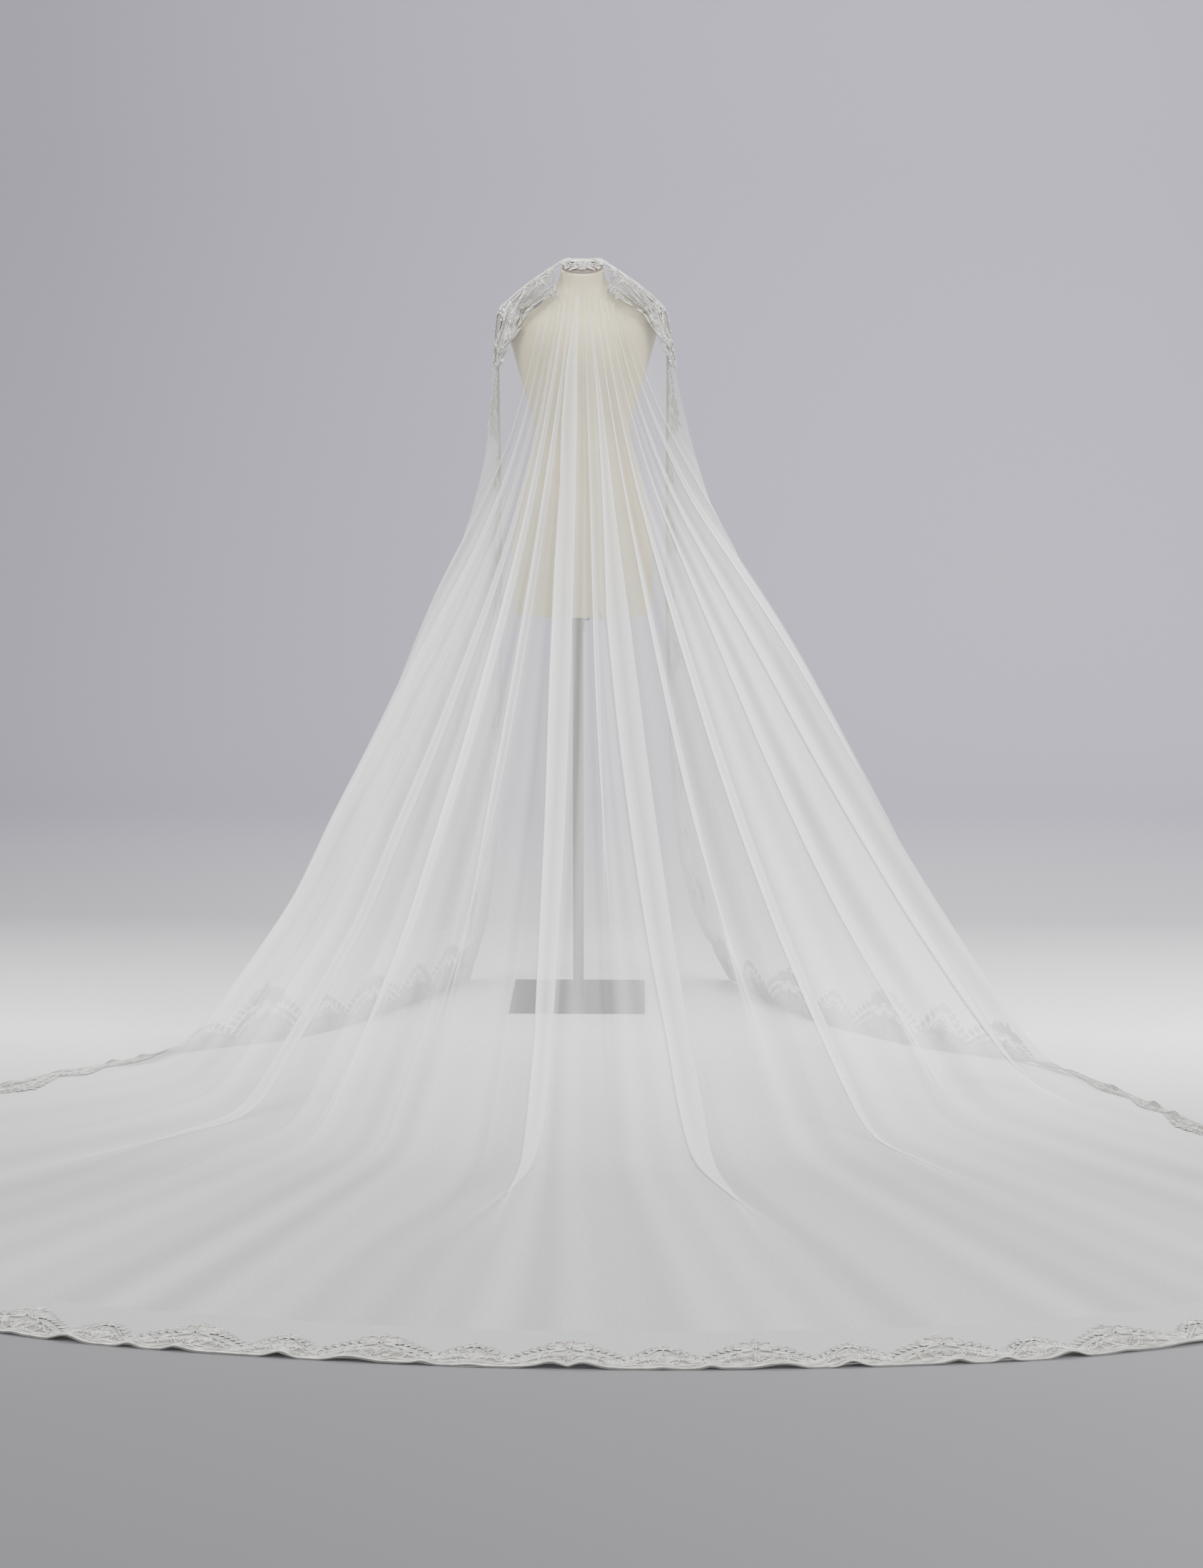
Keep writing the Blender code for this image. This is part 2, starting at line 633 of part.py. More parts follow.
def sew_cloth():
    # The whole cloth as one surface: its points, and its faces, each with the stretch of tulle
    # it belongs to and, in the border, the stretch of lace that lies on it
    cloth = Cloth()
    points = []
    places = []
    faces = []

    def add_point(spot, place):
        points.append(spot)
        places.append(min(max(place, -1.0), 1.0))
        return len(points) - 1

    def add_face(corners, lace=None):
        # A face of four corners is split along its shorter diagonal, so each skin of the wall
        # and the lace on it bend alike
        stretch = "tulle_" + stretch_of(sum(places[corner] for corner in corners) / len(corners))
        halves = [corners]
        if len(corners) == 4:
            a, b, c, d = corners
            straight = np.linalg.norm(points[a] - points[c]) < np.linalg.norm(points[b] - points[d])
            halves = [(a, b, c), (a, c, d)] if straight else [(a, b, d), (b, c, d)]
        for half in halves:
            faces.append({"corners": half, "tulle": stretch, "lace": lace})

    grid = []
    for row in BODY_ROWS:
        share = cloth.body_spot(0.0, row)[1]
        line = []
        for place in body_places(share):
            line.append((place, add_point(cloth.point(*cloth.body_spot(place, row)), place)))
        grid.append(line)
    for upper, lower in zip(grid, grid[1:]):
        for spot in range(len(upper) - 1):
            add_face((upper[spot][1], lower[spot][1], lower[spot + 1][1], upper[spot + 1][1]))

    # The border goes round from the middle of the hem up the left, over the cap and down the
    # right
    left, left_whole = edge_lines(cloth, -1)
    right, right_whole = edge_lines(cloth, 1)
    border = left[:0:-1] + right[:-1]
    extra = []
    for line in border:
        width = scallop_width(line["phase"])
        if line["side"] == "top":
            shelf = line["shelf"]
            if width > shelf - SHELF_NEAR:
                width = max(shelf, VALLEY_WIDTH)
            else:
                extra.append((line["run"], SHELF_FLAT, add_point(*border_point(cloth, line, shelf))))
        line["width"] = width
        line["rings"] = [add_point(*border_point(cloth, line, width * strip / STRIPS))
                         for strip in range(STRIPS + 1)]
    steps = list(zip(border, border[1:] + border[:1]))
    names = [lace_of(here, after, places) for here, after in steps]
    for number, (here, after) in enumerate(steps):
        around = {names[(number + shift) % len(names)] for shift in (-2, -1, 1, 2)}
        for strip in range(STRIPS):
            hole = strip == HOLE_STRIP and around == {names[number]} and is_hole(here, after)
            corners = (here["rings"][strip], here["rings"][strip + 1],
                       after["rings"][strip + 1], after["rings"][strip])
            add_face(corners, None if hole else names[number])

    ring = [(line["run"], flat_width(line), line["rings"][-1]) for line in border]
    body = body_edge(grid, edge_runs(left), edge_runs(right))
    for corners in fill_band(left_whole + right_whole, ring, extra, body):
        add_face(corners)
    straighten_seams(faces)
    return np.array(points), faces


def straighten_seams(faces):
    # A face with most of its neighbours in another stretch of tulle joins that stretch
    owners = {}
    for face in faces:
        corners = face["corners"]
        for spot, after in zip(corners, corners[1:] + corners[:1]):
            owners[(spot, after)] = face
    for repeat in range(SEAM_PASSES):
        for face in faces:
            corners = face["corners"]
            beside = [owners.get((after, spot))
                      for spot, after in zip(corners, corners[1:] + corners[:1])]
            names = [other["tulle"] for other in beside if other]
            most = max(names, key=names.count)
            if names.count(most) > 1 and names.count(face["tulle"]) < 2:
                face["tulle"] = most


def flat_width(line):
    # The width of the lace on one cross line, with the bend over the cap laid out straight
    if line["side"] == "top":
        return float(np.interp(line["width"], line["widths"], (0.0, SHELF_FLAT, FRAME_WIDTH)))
    return line["width"]


def edge_runs(lines):
    # For one half, the run along the edge by place on the top, row on the drop, place on the hem
    drop = [number for number, line in enumerate(lines) if line["side"] == "drop"]
    top = lines[:drop[0]]
    hem = lines[drop[-1]:][::-1]
    fall = lines[drop[0] - 1:drop[-1] + 1]
    return {"top": ([abs(line["outer"][0]) for line in top], [line["run"] for line in top]),
            "drop": ([line["outer"][1] for line in fall], [line["run"] for line in fall]),
            "hem": ([abs(line["outer"][0]) for line in hem], [line["run"] for line in hem])}


def body_edge(grid, left, right):
    # The body's edge from the middle of the hem round the left, the cap and the right, each
    # point with the run along the cloth's edge that it faces
    top = grid[0]
    hem = grid[-1]
    corners = [(np.interp(abs(place), *left["hem"]), point) for place, point in hem[::-1] if place < 0]
    corners += [(np.interp(row, *left["drop"]), line[0][1])
                for row, line in list(zip(BODY_ROWS, grid))[-2:0:-1]]
    corners += [(np.interp(abs(place), *(right if place >= 0 else left)["top"]), point)
                for place, point in top]
    corners += [(np.interp(row, *right["drop"]), line[-1][1])
                for row, line in list(zip(BODY_ROWS, grid))[1:-1]]
    corners += [(np.interp(place, *right["hem"]), point) for place, point in hem[::-1] if place >= 0]
    return [(float(run), FRAME_WIDTH, point) for run, point in corners]


def lace_of(here, after, places):
    # A corner's own line belongs to the side before it, counted from the middle of the cap
    across = here["outer"][0] + after["outer"][0]
    side = after["side"] if across > 0 else here["side"]
    if side == "top":
        return "lace_top"
    if side == "drop":
        return "lace_drop_right" if across > 0 else "lace_drop_left"
    return "lace_hem_" + stretch_of((places[here["rings"][0]] + places[after["rings"][0]]) / 2)


def is_hole(here, after):
    turn = ((here["phase"] + after["phase"]) / 2) % 1.0
    return abs(turn - 0.5) < LARGE_HOLE or min(turn, 1 - turn) < SMALL_HOLE


def point_normals(points, faces):
    normals = np.zeros_like(points)
    for face in faces:
        corners = face["corners"]
        spots = points[list(corners)]
        center = spots.mean(axis=0)
        turned = np.roll(spots, -1, axis=0)
        area = np.cross(spots - center, turned - center).sum(axis=0)
        for corner in corners:
            normals[corner] += area
    return normals / np.linalg.norm(normals, axis=1)[:, None]


def seam_shifts(points, normals, faces, layer, name):
    # Moves the points on a seam with the next stretch a little into this one, by the same
    # distance square to the seam on both sides of a corner
    owners = {}
    for face in faces:
        corners = face["corners"]
        for spot, after in zip(corners, corners[1:] + corners[:1]):
            owners[(spot, after)] = face[layer]
    sides = {}
    for (spot, after), owner in owners.items():
        across = owners.get((after, spot))
        if owner == name and across is not None and across != name:
            run = points[after] - points[spot]
            inward = np.cross(normals[spot] + normals[after], run)
            inward /= np.linalg.norm(inward)
            for corner in (spot, after):
                sides.setdefault(corner, []).append(inward)
    shifts = {}
    for corner, inwards in sides.items():
        middle = sum(inwards)
        middle /= max(np.linalg.norm(middle), 1e-9)
        reach = min(float(middle @ inward) for inward in inwards)
        shifts[corner] = middle * SEAM_GAP / max(reach, SEAM_SHARPEST)
    return shifts


def build_wall(name, sheet, layer, below, above, group, material):
    # A closed wall between two skins of the sheet's own points, moved along their normals
    points, normals, faces = sheet
    shifts = seam_shifts(points, normals, faces, layer, name)
    own = [face["corners"] for face in faces if face[layer] == name]
    mesh = bmesh.new()
    skins = {}
    for corner in sorted({corner for corners in own for corner in corners}):
        spot = points[corner] + shifts.get(corner, 0.0)
        skins[corner] = (mesh.verts.new(spot + normals[corner] * below),
                         mesh.verts.new(spot + normals[corner] * above))
    used = {(a, b) for corners in own for a, b in zip(corners, corners[1:] + corners[:1])}
    for corners in own:
        mesh.faces.new([skins[corner][1] for corner in corners])
        mesh.faces.new([skins[corner][0] for corner in reversed(corners)])
    for spot, after in sorted(used):
        if (after, spot) not in used:
            mesh.faces.new((skins[after][1], skins[spot][1], skins[spot][0], skins[after][0]))
    data = bpy.data.meshes.new(name)
    mesh.to_mesh(data)
    mesh.free()
    item = bpy.data.objects.new(name, data)
    bpy.context.scene.collection.objects.link(item)
    return finish_object(item, group, material, 60)


def main():
    clear_scene()
    parts = make_collection("bridal_veil_on_form")
    cutters = make_collection("cutters")
    linen = make_material("cream form cloth", (0.80, 0.77, 0.66), 0.85)
    wood = make_material("brown wood", (0.20, 0.13, 0.10), 0.35)
    steel = make_material("brushed steel", (0.55, 0.55, 0.54), 0.35, 1.0)
    plate_steel = make_material("plate steel", (0.58, 0.58, 0.57), 0.40, 1.0)
    tulle = make_material("ivory tulle", (0.86, 0.87, 0.86), 0.80)
    lace = make_material("corded lace", (0.78, 0.77, 0.74), 0.55)

    build_form(parts, linen)
    build_cap(parts, wood)
    lever = build_stand(parts, steel, plate_steel)
    finish_object(lever, cutters, steel)

    points, faces = sew_cloth()
    normals = point_normals(points, faces)
    low = TULLE_THICK / 2 + LACE_LIFT
    # Where the cloth leans out at the floor, the lace on it stays clear of the floor too
    lean = np.clip(-normals[:, 2], 0.0, 1.0)
    points[:, 2] = np.maximum(points[:, 2], TULLE_THICK / 2 + lean * (low + LACE_THICK))
    sheet = (points, normals, faces)
    for name, end in STRETCHES:
        build_wall("tulle_" + name, sheet, "tulle", -TULLE_THICK / 2, TULLE_THICK / 2, parts, tulle)
    for name in sorted({face["lace"] for face in faces if face["lace"]}):
        build_wall(name, sheet, "lace", low, low + LACE_THICK, parts, lace)


main()
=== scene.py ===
# Bridal veil of soft tulle with a corded, beaded lace border, laid over a dress form on a pole stand.
# Metres, +Z up, the train runs out towards -Y.
import math

import bmesh
import bpy
import numpy as np
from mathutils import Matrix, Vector


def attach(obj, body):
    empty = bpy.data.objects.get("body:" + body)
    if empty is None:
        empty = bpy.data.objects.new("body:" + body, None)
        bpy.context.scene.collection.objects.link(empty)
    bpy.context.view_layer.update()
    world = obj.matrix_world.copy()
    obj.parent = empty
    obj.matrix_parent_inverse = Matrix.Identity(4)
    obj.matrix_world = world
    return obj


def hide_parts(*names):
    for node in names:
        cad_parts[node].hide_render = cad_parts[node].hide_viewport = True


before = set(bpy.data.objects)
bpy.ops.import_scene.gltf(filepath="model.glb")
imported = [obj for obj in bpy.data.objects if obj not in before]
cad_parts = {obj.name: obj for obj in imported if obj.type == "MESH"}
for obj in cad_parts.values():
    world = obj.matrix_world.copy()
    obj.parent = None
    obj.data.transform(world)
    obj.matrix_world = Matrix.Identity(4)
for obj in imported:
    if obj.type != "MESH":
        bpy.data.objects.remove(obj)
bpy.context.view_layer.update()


# small helpers

def smoothStep(value):
    held = np.clip(value, 0.0, 1.0)
    return held * held * (3 - 2 * held)


def runAlong(points):
    steps = np.linalg.norm(np.diff(np.asarray(points), axis=0), axis=1)
    return np.concatenate(([0.0], np.cumsum(steps)))


def readColumns(wanted, keys, rows):
    return np.array([np.interp(wanted, keys, column) for column in np.asarray(rows).T]).T


def spreadEvenly(points, count):
    run = runAlong(points)
    return readColumns(np.linspace(0, run[-1], count), run, points)


def smoothRow(values, rounds):
    row = np.array(values)
    for n in range(rounds):
        row[1:-1] = 0.25 * row[:-2] + 0.5 * row[1:-1] + 0.25 * row[2:]
    return row


def readSmooth(table, key):
    # other columns of a table at a key, on a cubic through its rows
    rows = np.array(table)
    keys = rows[:, 0]
    values = rows[:, 1:]
    slopes = np.gradient(values, keys, axis=0)
    spot = int(np.clip(np.searchsorted(keys, key) - 1, 0, len(keys) - 2))
    span = keys[spot + 1] - keys[spot]
    t = (key - keys[spot]) / span
    return ((1 + 2 * t) * (1 - t) ** 2 * values[spot] + t * t * (3 - 2 * t) * values[spot + 1]
            + t * (1 - t) ** 2 * span * slopes[spot] + t * t * (t - 1) * span * slopes[spot + 1])


def gridFaces(index):
    # faces between the rows and columns of a grid of point numbers
    return np.stack((index[:-1, :-1], index[:-1, 1:], index[1:, 1:], index[1:, :-1]), -1).reshape(-1, 4)


def deselectAll():
    if bpy.context.object and bpy.context.object.mode != "OBJECT":
        bpy.ops.object.mode_set(mode="OBJECT")
    bpy.ops.object.select_all(action="DESELECT")


def activate(piece):
    deselectAll()
    piece.select_set(True)
    bpy.context.view_layer.objects.active = piece


def applyPlace(piece):
    # the piece's place goes into its mesh, so its object stands at the origin
    activate(piece)
    bpy.ops.object.transform_apply(location=True, rotation=True, scale=True)


def applyModifiers(piece):
    activate(piece)
    for modifier in list(piece.modifiers):
        bpy.ops.object.modifier_apply(modifier=modifier.name)


def triangleCount(piece):
    return sum(len(face.vertices) - 2 for face in piece.data.polygons)


def newPiece(mesh):
    piece = bpy.data.objects.new(mesh.name, mesh)
    bpy.context.scene.collection.objects.link(piece)
    return piece


def dressPiece(piece, material):
    piece.data.materials.clear()
    piece.data.materials.append(material)


# materials

def newMaterial(name, color, roughness, metallic=0.0):
    material = bpy.data.materials.new(name)
    material.use_nodes = True
    shader = material.node_tree.nodes["Principled BSDF"]
    shader.inputs["Base Color"].default_value = (*color, 1.0)
    shader.inputs["Roughness"].default_value = roughness
    shader.inputs["Metallic"].default_value = metallic
    return material, material.node_tree.nodes, material.node_tree.links, shader


def addNode(nodes, kind, **values):
    node = nodes.new(kind)
    for name, value in values.items():
        setattr(node, name, value)
    return node


def addNoise(nodes, links, coords, scale, detail=3.0, roughness=0.5):
    noise = addNode(nodes, "ShaderNodeTexNoise")
    noise.inputs["Scale"].default_value = scale
    noise.inputs["Detail"].default_value = detail
    noise.inputs["Roughness"].default_value = roughness
    links.new(coords, noise.inputs["Vector"])
    return noise.outputs["Fac"]


def addMapping(nodes, links, coords, scale):
    mapping = addNode(nodes, "ShaderNodeMapping")
    mapping.inputs["Scale"].default_value = scale
    links.new(coords, mapping.inputs["Vector"])
    return mapping.outputs["Vector"]


def addRange(nodes, links, value, low, high, toLow, toHigh):
    node = addNode(nodes, "ShaderNodeMapRange")
    for name, number in (("From Min", low), ("From Max", high), ("To Min", toLow), ("To Max", toHigh)):
        node.inputs[name].default_value = number
    links.new(value, node.inputs["Value"])
    return node.outputs["Result"]


def addMath(nodes, links, operation, first, second):
    node = addNode(nodes, "ShaderNodeMath", operation=operation)
    for socket, value in zip(node.inputs, (first, second)):
        if isinstance(value, (int, float)):
            socket.default_value = value
        else:
            links.new(value, socket)
    return node.outputs["Value"]


def addTint(nodes, links, factor, dark, light):
    mix = addNode(nodes, "ShaderNodeMix", data_type="RGBA")
    links.new(factor, mix.inputs["Factor"])
    mix.inputs["A"].default_value = (*dark, 1.0)
    mix.inputs["B"].default_value = (*light, 1.0)
    return mix.outputs["Result"]


def addBump(nodes, links, shader, height, strength, distance):
    bump = addNode(nodes, "ShaderNodeBump")
    bump.inputs["Strength"].default_value = strength
    bump.inputs["Distance"].default_value = distance
    links.new(height, bump.inputs["Height"])
    links.new(bump.outputs["Normal"], shader.inputs["Normal"])


# thin is a grey painted shade for the thin parts of the veil, close is the net's own white
tulleLook = {"thin": (0.64, 0.645, 0.625), "close": (0.96, 0.965, 0.965), "thinCover": 0.20,
             "closeCover": 0.44, "netPerMetre": 520.0, "netDepth": 0.35, "sheen": 0.25}


def makeTulle():
    # sheer net: the cover painted on the cloth is how close it is, and the mesh of the net breaks it up. The
    # cover also tints the net as painted shade: grey where it is thin, white where it is close
    material, nodes, links, shader = newMaterial("softTulle", tulleLook["close"], 0.75)
    shader.inputs["Sheen Weight"].default_value = tulleLook["sheen"]
    shader.inputs["Sheen Roughness"].default_value = 0.4
    uv = addNode(nodes, "ShaderNodeUVMap", uv_map="cut").outputs["UV"]
    net = addNode(nodes, "ShaderNodeTexVoronoi", feature="DISTANCE_TO_EDGE")
    net.inputs["Scale"].default_value = tulleLook["netPerMetre"]
    links.new(uv, net.inputs["Vector"])
    depth = tulleLook["netDepth"]
    threads = addRange(nodes, links, net.outputs["Distance"], 0.0, 0.4, 1.0 + depth, 1.0 - depth)
    cover = addNode(nodes, "ShaderNodeAttribute", attribute_name="netCover").outputs["Fac"]
    alpha = addMath(nodes, links, "MULTIPLY", cover, threads)
    links.new(alpha, shader.inputs["Alpha"])
    # painted shade: the thinner the cover, the greyer the net
    paintedShadeByCover = addRange(nodes, links, cover, tulleLook["thinCover"], tulleLook["closeCover"], 0.0, 1.0)
    tint = addTint(nodes, links, paintedShadeByCover, tulleLook["thin"], tulleLook["close"])
    links.new(tint, shader.inputs["Base Color"])
    return material


# the lace's colours are darker than its ivory and silver thread: painted shade of the dimly lit hem and of the
# gaps between the cords
threadLook = {"ground": (0.35, 0.33, 0.28), "groundPerMetre": 420.0, "groundThread": 0.62, "groundGap": 0.26,
              "satinDark": (0.32, 0.305, 0.265), "satinLight": (0.66, 0.64, 0.585), "satinPerMetre": 180.0,
              "cordDark": (0.20, 0.19, 0.16), "cordLight": (0.94, 0.93, 0.89), "cordPerMetre": 260.0,
              "bead": (0.93, 0.93, 0.92)}


def makeLaceGround():
    # close fine net between the cords, coloured dark as painted shade of the gaps between the cords
    material, nodes, links, shader = newMaterial("laceGround", threadLook["ground"], 0.6)
    coords = addNode(nodes, "ShaderNodeTexCoord").outputs["Object"]
    net = addNode(nodes, "ShaderNodeTexVoronoi", feature="DISTANCE_TO_EDGE")
    net.inputs["Scale"].default_value = threadLook["groundPerMetre"]
    links.new(coords, net.inputs["Vector"])
    alpha = addRange(nodes, links, net.outputs["Distance"], 0.0, 0.35,
                     threadLook["groundThread"], threadLook["groundGap"])
    links.new(alpha, shader.inputs["Alpha"])
    return material


def makeLacePetal():
    # satin stitch filling of petals and leaves; its tint is darkened as painted shade of the dimly lit hem
    material, nodes, links, shader = newMaterial("satinStitch", threadLook["satinLight"], 0.45)
    shader.inputs["Sheen Weight"].default_value = 0.2
    coords = addNode(nodes, "ShaderNodeTexCoord").outputs["Object"]
    wave = addNode(nodes, "ShaderNodeTexWave")
    wave.inputs["Scale"].default_value = threadLook["satinPerMetre"]
    wave.inputs["Distortion"].default_value = 2.0
    links.new(coords, wave.inputs["Vector"])
    shade = addNoise(nodes, links, coords, 45.0)
    tint = addTint(nodes, links, shade, threadLook["satinDark"], threadLook["satinLight"])
    links.new(tint, shader.inputs["Base Color"])
    addBump(nodes, links, shader, wave.outputs["Fac"], 0.5, 0.0008)
    return material


def makeLaceCord():
    # silvery twisted cord; the dark end of its tint is painted shade, as of the gaps in the lace and the dim
    # hem
    material, nodes, links, shader = newMaterial("twistedCord", threadLook["cordLight"], 0.32, 0.40)
    coords = addNode(nodes, "ShaderNodeTexCoord").outputs["Object"]
    twist = addNode(nodes, "ShaderNodeTexWave", bands_direction="DIAGONAL")
    twist.inputs["Scale"].default_value = threadLook["cordPerMetre"]
    links.new(coords, twist.inputs["Vector"])
    shade = addNoise(nodes, links, coords, 60.0)
    tint = addTint(nodes, links, shade, threadLook["cordDark"], threadLook["cordLight"])
    links.new(tint, shader.inputs["Base Color"])
    addBump(nodes, links, shader, twist.outputs["Fac"], 0.6, 0.0006)
    return material


def makeBead():
    material, nodes, links, shader = newMaterial("silverBead", threadLook["bead"], 0.12, 0.75)
    coords = addNode(nodes, "ShaderNodeTexCoord").outputs["Object"]
    shade = addNoise(nodes, links, coords, 150.0)
    rough = addRange(nodes, links, shade, 0.3, 0.7, 0.08, 0.28)
    links.new(rough, shader.inputs["Roughness"])
    return material


formLook = {"dark": (0.53, 0.455, 0.265), "light": (0.65, 0.565, 0.345), "threadsPerMetre": 900.0}


def makeFormCloth():
    # plain linen weave, a little mottled
    material, nodes, links, shader = newMaterial("creamLinen", formLook["light"], 0.88)
    shader.inputs["Sheen Weight"].default_value = 0.15
    coords = addNode(nodes, "ShaderNodeTexCoord").outputs["Object"]
    mottle = addNoise(nodes, links, coords, 9.0, 4.0)
    tint = addTint(nodes, links, addRange(nodes, links, mottle, 0.3, 0.7, 0.25, 1.0),
                   formLook["dark"], formLook["light"])
    links.new(tint, shader.inputs["Base Color"])
    heights = []
    for direction in ("X", "Z"):
        wave = addNode(nodes, "ShaderNodeTexWave", bands_direction=direction)
        wave.inputs["Scale"].default_value = formLook["threadsPerMetre"] / 6
        wave.inputs["Distortion"].default_value = 0.6
        links.new(coords, wave.inputs["Vector"])
        heights.append(wave.outputs["Fac"])
    addBump(nodes, links, shader, addMath(nodes, links, "ADD", *heights), 0.25, 0.0005)
    return material


woodLook = {"dark": (0.075, 0.038, 0.028), "light": (0.17, 0.10, 0.075), "grain": (14.0, 160.0, 160.0)}


def makeCapWood():
    material, nodes, links, shader = newMaterial("stainedWood", woodLook["light"], 0.65)
    shader.inputs["Specular IOR Level"].default_value = 0.06
    coords = addNode(nodes, "ShaderNodeTexCoord").outputs["Object"]
    along = addMapping(nodes, links, coords, woodLook["grain"])
    grain = addNoise(nodes, links, along, 1.0, 6.0, 0.6)
    tint = addTint(nodes, links, addRange(nodes, links, grain, 0.35, 0.65, 0.0, 1.0),
                   woodLook["dark"], woodLook["light"])
    links.new(tint, shader.inputs["Base Color"])
    addBump(nodes, links, shader, grain, 0.15, 0.0004)
    return material


# color, roughness, and how the brushing runs; the colours are far darker than bare steel, painted shade of the
# veil over the stand
steelLook = {"brushedSteel": ((0.10, 0.095, 0.083), 0.40, (500.0, 500.0, 12.0)),
             "plateSteel": ((0.125, 0.122, 0.115), 0.46, (20.0, 700.0, 700.0))}


def makeBrushedSteel(name):
    color, roughness, scale = steelLook[name]
    material, nodes, links, shader = newMaterial(name, color, roughness, 0.85)
    coords = addNode(nodes, "ShaderNodeTexCoord").outputs["Object"]
    brushed = addNoise(nodes, links, addMapping(nodes, links, coords, scale), 1.0, 5.0, 0.7)
    rough = addRange(nodes, links, brushed, 0.3, 0.7, roughness - 0.08, roughness + 0.14)
    links.new(rough, shader.inputs["Roughness"])
    worn = addNoise(nodes, links, coords, 16.0)
    dark = tuple(0.86 * part for part in color)
    links.new(addTint(nodes, links, worn, dark, color), shader.inputs["Base Color"])
    addBump(nodes, links, shader, brushed, 0.12, 0.0003)
    return material


tulleMaterial = makeTulle()
groundMaterial = makeLaceGround()
petalMaterial = makeLacePetal()
cordMaterial = makeLaceCord()
beadMaterial = makeBead()
linenMaterial = makeFormCloth()
woodMaterial = makeCapWood()
poleMaterial = makeBrushedSteel("brushedSteel")
plateMaterial = makeBrushedSteel("plateSteel")
print("materials made")


# the cloth's form, as hanging lines from the upper edge to the hem

formX = 0.0115
tulleThick = 0.001

# share of the way across, edge x, y, z, shelf x, y, z, for one half
shoulderLine = (
    (0.00, 0.0000, 0.044, 1.7392, 0.000, -0.0540, 1.7110),
    (0.15, 0.0220, 0.041, 1.7385, 0.029, -0.0500, 1.7120),
    (0.33, 0.0450, 0.034, 1.7362, 0.062, -0.0300, 1.7180),
    (0.45, 0.0915, 0.024, 1.7050, 0.100, -0.0560, 1.6840),
    (0.58, 0.1385, 0.013, 1.6720, 0.146, -0.0540, 1.6540),
    (0.70, 0.1820, 0.005, 1.6360, 0.187, -0.0440, 1.6200),
    (0.85, 0.1875, 0.002, 1.6300, 0.193, -0.0200, 1.6120),
    (1.00, 0.1890, 0.000, 1.6270, 0.193, 0.0060, 1.6050),
)

# share of the way across, floor contact x, y, hem x, y
floorLine = (
    (-1.00, -0.270, 0.167, -0.270, 0.167),
    (-0.94, -0.390, -0.080, -0.390, -0.080),
    (-0.88, -0.560, -0.335, -0.560, -0.335),
    (-0.81, -0.730, -0.450, -0.730, -0.450),
    (-0.76, -0.840, -0.500, -0.860, -0.505),
    (-0.71, -0.868, -0.550, -1.010, -0.615),
    (-0.66, -0.860, -0.620, -1.210, -0.790),
    (-0.60, -0.830, -0.715, -1.435, -1.130),
    (-0.52, -0.750, -0.860, -1.490, -1.600),
    (-0.42, -0.610, -1.035, -1.285, -2.010),
    (-0.30, -0.430, -1.190, -0.885, -2.210),
    (-0.15, -0.205, -1.290, -0.415, -2.310),
    (0.00, 0.020, -1.330, 0.040, -2.350),
    (0.15, 0.250, -1.300, 0.490, -2.335),
    (0.30, 0.485, -1.210, 0.930, -2.265),
    (0.42, 0.690, -1.070, 1.260, -2.110),
    (0.52, 0.850, -0.910, 1.415, -1.800),
    (0.60, 0.960, -0.760, 1.405, -1.400),
    (0.66, 1.010, -0.665, 1.285, -1.055),
    (0.71, 1.025, -0.605, 1.140, -0.745),
    (0.76, 0.975, -0.560, 1.010, -0.570),
    (0.81, 0.850, -0.500, 0.850, -0.500),
    (0.88, 0.655, -0.341, 0.655, -0.341),
    (0.94, 0.480, -0.120, 0.480, -0.120),
    (1.00, 0.366, 0.177, 0.366, 0.177),
)

# height share, how far out at the front, left side, right side, edge sideways, edge backwards
fallLine = (
    (1.00, 0.000, 0.000, 0.000, 0.00, 0.00),
    (0.95, 0.035, 0.014, 0.022, 0.00, 0.10),
    (0.90, 0.075, 0.023, 0.037, 0.00, 0.20),
    (0.80, 0.140, 0.046, 0.088, 0.00, 0.36),
    (0.72, 0.195, 0.095, 0.140, 0.00, 0.48),
    (0.65, 0.243, 0.152, 0.223, 0.00, 0.57),
    (0.55, 0.318, 0.259, 0.342, 0.01, 0.67),
    (0.40, 0.447, 0.430, 0.505, 0.05, 0.80),
    (0.30, 0.553, 0.553, 0.622, 0.10, 0.87),
    (0.20, 0.675, 0.655, 0.746, 0.20, 0.93),
    (0.10, 0.825, 0.828, 0.885, 0.46, 0.97),
    (0.00, 1.000, 1.000, 1.000, 1.00, 1.00),
)

# height, half width, depth to the front, depth to the back, tilt share
formSections = (
    (0.9245, 0.1620, 0.100, 0.112, 0.0),
    (1.0300, 0.1655, 0.106, 0.124, 0.0),
    (1.1400, 0.1650, 0.103, 0.128, 0.0),
    (1.2400, 0.1390, 0.092, 0.104, 0.0),
    (1.3000, 0.1180, 0.085, 0.088, 0.0),
    (1.3440, 0.1070, 0.083, 0.080, 0.0),
    (1.3950, 0.1190, 0.089, 0.084, 0.0),
    (1.4500, 0.1370, 0.103, 0.092, 0.0),
    (1.5100, 0.1540, 0.110, 0.100, 0.0),
    (1.5600, 0.1680, 0.101, 0.102, 0.0),
    (1.5950, 0.1790, 0.084, 0.092, 0.0),
    (1.6160, 0.1800, 0.068, 0.078, 0.0),
    (1.6340, 0.1540, 0.060, 0.070, 0.1),
    (1.6560, 0.1090, 0.054, 0.062, 0.3),
    (1.6750, 0.0690, 0.052, 0.055, 0.6),
    (1.6900, 0.0525, 0.050, 0.051, 0.9),
)

